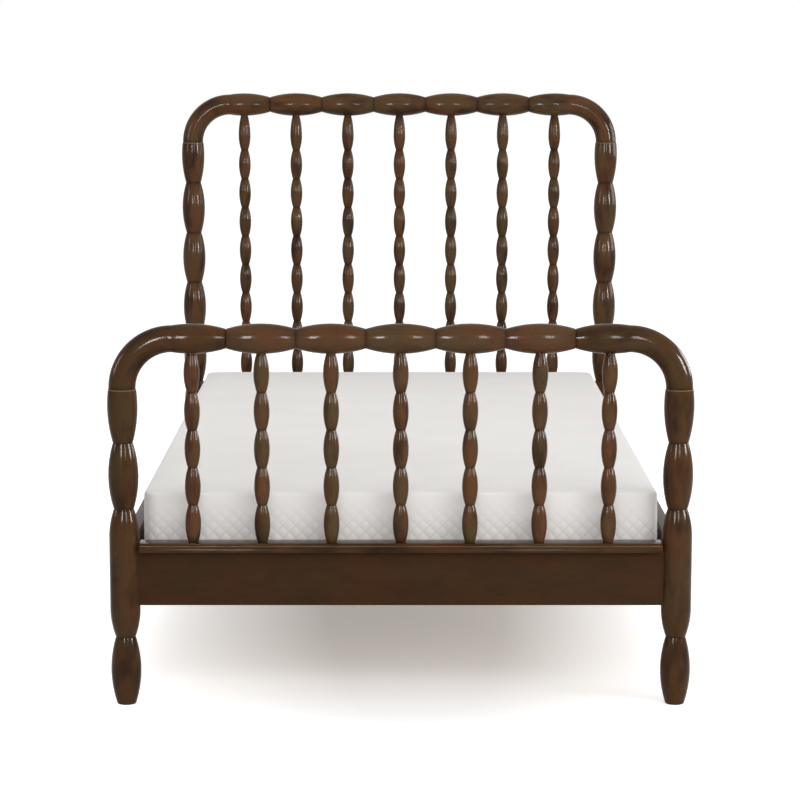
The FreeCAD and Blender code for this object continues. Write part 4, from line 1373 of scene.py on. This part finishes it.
    def quilt(self, form: Form) -> None:
        """Raise the puffs between the border's stitch lines and lay out the pattern for the cover.

        The attribute "quilt" holds how far a point lies round the cover and up it, in diamonds,
        and how strong the quilting is there.

        Args:
            form: The mattress's form.
        """
        wave_across, wave_up, slant = self.uneven_waves
        form.normal_update()
        pattern = form.verts.layers.float_vector.new("quilt")
        for point in form.verts:
            across, up = self.laid_flat(point.co, abs(point.normal.z))
            height = (point.co.z - self.low.z) / (self.high.z - self.low.z)
            share = (self.fade[1] - height) / (self.fade[1] - self.fade[0])
            relief = max(self.faint, min(1.0, share))
            point[pattern] = (across / self.diamond, up / self.diamond, relief)
            first = abs(math.sin(math.pi * (across + up) / self.diamond))
            second = abs(math.sin(math.pi * (across - up) / self.diamond))
            tightness = 1.0 + self.uneven * math.sin(wave_across * across) * math.sin(
                wave_up * up + slant * across)
            rise = math.sqrt(first * second) - self.sunk
            point.co += point.normal * self.puff * relief * tightness * rise
        for face in form.faces:
            face.smooth = True

    def laid_flat(self, place: Vector, level: float) -> tuple[float, float]:
        """Find where a place of the cover lies on the flat quilt, in metres.

        Args:
            place: The point on the cover.
            level: 1 on the flat top and underside, 0 on the border.

        Returns:
            How far across and how far up the quilt the point lies.
        """
        if level > FLAT:
            return place.x, place.y
        half_x, half_y = self.high.x - self.corner, self.high.y - self.corner
        past_x, past_y = abs(place.x) - half_x, abs(place.y) - half_y
        if past_x > 0 and past_y > 0:
            return half_y + self.corner * math.atan2(past_y, past_x), place.z
        if past_x > past_y:
            return abs(place.y), place.z
        return half_y + self.corner * math.pi / 2 + half_x - abs(place.x), place.z


# Studio --------------------------------------------------------------------------------------

@dataclass
class Softbox:
    """A lamp with a plain rectangular face."""
    name: str
    place: tuple[float, float, float]
    aim: tuple[float, float, float]
    width: float
    height: float
    radiance: float
    gleams: bool = False            # seen in glossy surfaces only; other lamps light matt ones

    def build(self) -> None:
        """Hang the lamp."""
        light = bpy.data.lights.new(self.name, "AREA")
        light.shape = "RECTANGLE"
        light.size, light.size_y = self.width, self.height
        light.energy = self.radiance * self.width * self.height * math.pi
        lamp = bpy.data.objects.new(self.name, light)
        lamp.location = self.place
        look = Vector(self.aim) - Vector(self.place)
        lamp.rotation_euler = look.to_track_quat("-Z", "Y").to_euler()
        lamp.visible_camera = False
        lamp.visible_diffuse = not self.gleams
        lamp.visible_glossy = self.gleams
        bpy.context.scene.collection.objects.link(lamp)


@dataclass
class Studio:
    """The floor, the white surroundings, the lamps and the camera."""
    ambient: float = 0.53           # what the surroundings give to matt surfaces
    floor_tone: str = "F2F2F2"
    floor_lift: tuple[float, float] = (0.265, 0.62)   # white that the camera sees, near and far
    floor_reach: tuple[float, float] = (1.2, 3.7)    # where near ends and far starts
    floor_squeeze: float = 6.5      # how much sooner it whitens sideways than lengthwise
    floor_aside: float = 0.2        # moves the whitening's middle to the right
    floor_size: float = 60.0
    floor_gap: float = 0.5 * MM     # keeps the floor's face off the feet's
    focal: float = 129.46           # millimetres, for a frame 36 mm wide
    shift: tuple[float, float] = (0.0055, 0.1409)
    camera_aside: float = -0.0096   # the camera stood a little to the left of the middle
    camera_height: float = 1.2743
    camera_distance: float = 5.3277  # from the plane of the foot posts
    camera_pitch: float = 9.67      # degrees below level
    lamps: list[Softbox] = field(default_factory=lambda: [
        Softbox("overhead", (-0.1, 0.1, 3.2), (0.0, 0.0, 0.0), 2.8, 3.4, 1.25),
        Softbox("front_right", (3.4, -3.7, 2.1), (0.0, -0.5, 0.5), 2.6, 2.2, 4.5),
        Softbox("front", (0.6, -5.4, 2.6), (0.0, -0.5, 0.5), 4.4, 2.4, 3.0),
        Softbox("strip_left", (-1.07, -3.63, 1.50), (0.0, -0.9, 0.6), 0.42, 0.8, 95.0, True),
        Softbox("strip_middle", (0.76, -3.34, 1.50), (0.0, -0.9, 0.6), 0.36, 0.8, 55.0, True),
        Softbox("strip_right", (3.0, -1.80, 1.45), (0.0, -0.5, 0.6), 0.65, 0.9, 115.0, True),
        Softbox("wide_left", (-3.5, -1.0, 1.60), (0.0, 0.0, 0.6), 0.90, 1.1, 15.0, True),
        Softbox("wide_right", (3.2, 1.2, 1.40), (0.0, 0.4, 0.6), 2.0, 1.2, 14.0, True),
    ])

    def build(self) -> None:
        """Set up everything round the bed."""
        self.make_floor()
        self.make_surroundings()
        for lamp in self.lamps:
            lamp.build()
        self.make_camera()
        bpy.context.scene.view_settings.view_transform = "Standard"

    def make_floor(self) -> None:
        """A pale floor that keeps the bed's shadow and is lifted to white for the camera."""
        form = bmesh.new()
        bmesh.ops.create_grid(form, x_segments=1, y_segments=1, size=self.floor_size / 2)
        mesh = bpy.data.meshes.new("floor")
        form.to_mesh(mesh)
        form.free()
        floor = bpy.data.objects.new("floor", mesh)
        floor.location.z = -self.floor_gap
        bpy.context.scene.collection.objects.link(floor)
        material = bpy.data.materials.new("white_painted_floor")
        material.use_nodes = True
        tree = material.node_tree
        tree.nodes.clear()
        matt = add_node(tree, "BsdfDiffuse", {"Color": linear(self.floor_tone)})
        place = add_node(tree, "TexCoord").outputs["Object"]
        drawn = add_node(tree, "Mapping", {
            "Vector": place, "Location": (-self.floor_aside, 0.0, 0.0),
            "Scale": (self.floor_squeeze, 1.0, 1.0)})
        reach = add_node(tree, "VectorMath", {0: drawn}, operation="LENGTH")
        white = add_node(tree, "MapRange", {
            "Value": reach, "From Min": self.floor_reach[0], "From Max": self.floor_reach[1],
            "To Min": self.floor_lift[0], "To Max": self.floor_lift[1]})
        lift = add_node(tree, "Math", {0: self.white_rays(tree), 1: white}, operation="MULTIPLY")
        glow = add_node(tree, "Emission", {"Strength": lift})
        both = add_node(tree, "AddShader", {0: matt, 1: glow})
        add_node(tree, "OutputMaterial", {"Surface": both})
        mesh.materials.append(material)

    @staticmethod
    def white_rays(tree: Tree) -> Node:
        """Pick the rays that see the background: the camera's, and those in gloss or glass.

        Args:
            tree: The node tree of the floor or the world.

        Returns:
            The node that gives 1 for them and 0 for the rest.
        """
        rays = add_node(tree, "LightPath").outputs
        shiny = add_node(tree, "Math", {
            0: rays["Is Glossy Ray"], 1: rays["Is Transmission Ray"]}, operation="MAXIMUM")
        return add_node(tree, "Math", {0: rays["Is Camera Ray"], 1: shiny}, operation="MAXIMUM")

    def make_surroundings(self) -> None:
        """White surroundings, dimmed where they only light matt surfaces."""
        world = bpy.data.worlds.new("white_surroundings")
        world.use_nodes = True
        tree = world.node_tree
        tree.nodes.clear()
        strength = add_node(tree, "MapRange", {
            "Value": self.white_rays(tree), "To Min": self.ambient})
        glow = add_node(tree, "Background", {"Color": linear("FFFFFF"), "Strength": strength})
        add_node(tree, "OutputWorld", {"Surface": glow})
        bpy.context.scene.world = world

    def make_camera(self) -> None:
        """Stand the camera in front of the foot, as in the photograph."""
        data = bpy.data.cameras.new("camera")
        data.sensor_width = 36.0
        data.lens = self.focal
        data.shift_x, data.shift_y = self.shift
        camera = bpy.data.objects.new("camera", data)
        post_low, post_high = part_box("foot_post_left")
        front = (post_low.y + post_high.y) / 2
        camera.location = (self.camera_aside, front - self.camera_distance, self.camera_height)
        camera.rotation_euler = (math.radians(90 - self.camera_pitch), 0.0, 0.0)
        bpy.context.scene.collection.objects.link(camera)
        bpy.context.scene.camera = camera


def main() -> None:
    """Build the bed's pieces in order and light them."""
    logging.basicConfig(level=logging.INFO, format="%(name)s: %(message)s")
    # The foot's posts and corner pieces get the darker copy of the walnut, as painted shade; the
    # head's get the lighter one.
    EndFrame("foot", -1, post_beads=1, spindle_beads=5, stretch=1 * MM,
             posts=SHADED_WALNUT, rail=RAIL_WALNUT).build()
    EndFrame("head", 1, post_beads=4, spindle_beads=10, stretch=13 * MM,
             posts=WALNUT, rail=WALNUT).build()
    Deck().build()
    Mattress().build()
    Fasteners().build()
    dress_the_rest()
    Studio().build()


if __name__ == "__main__":
    main()
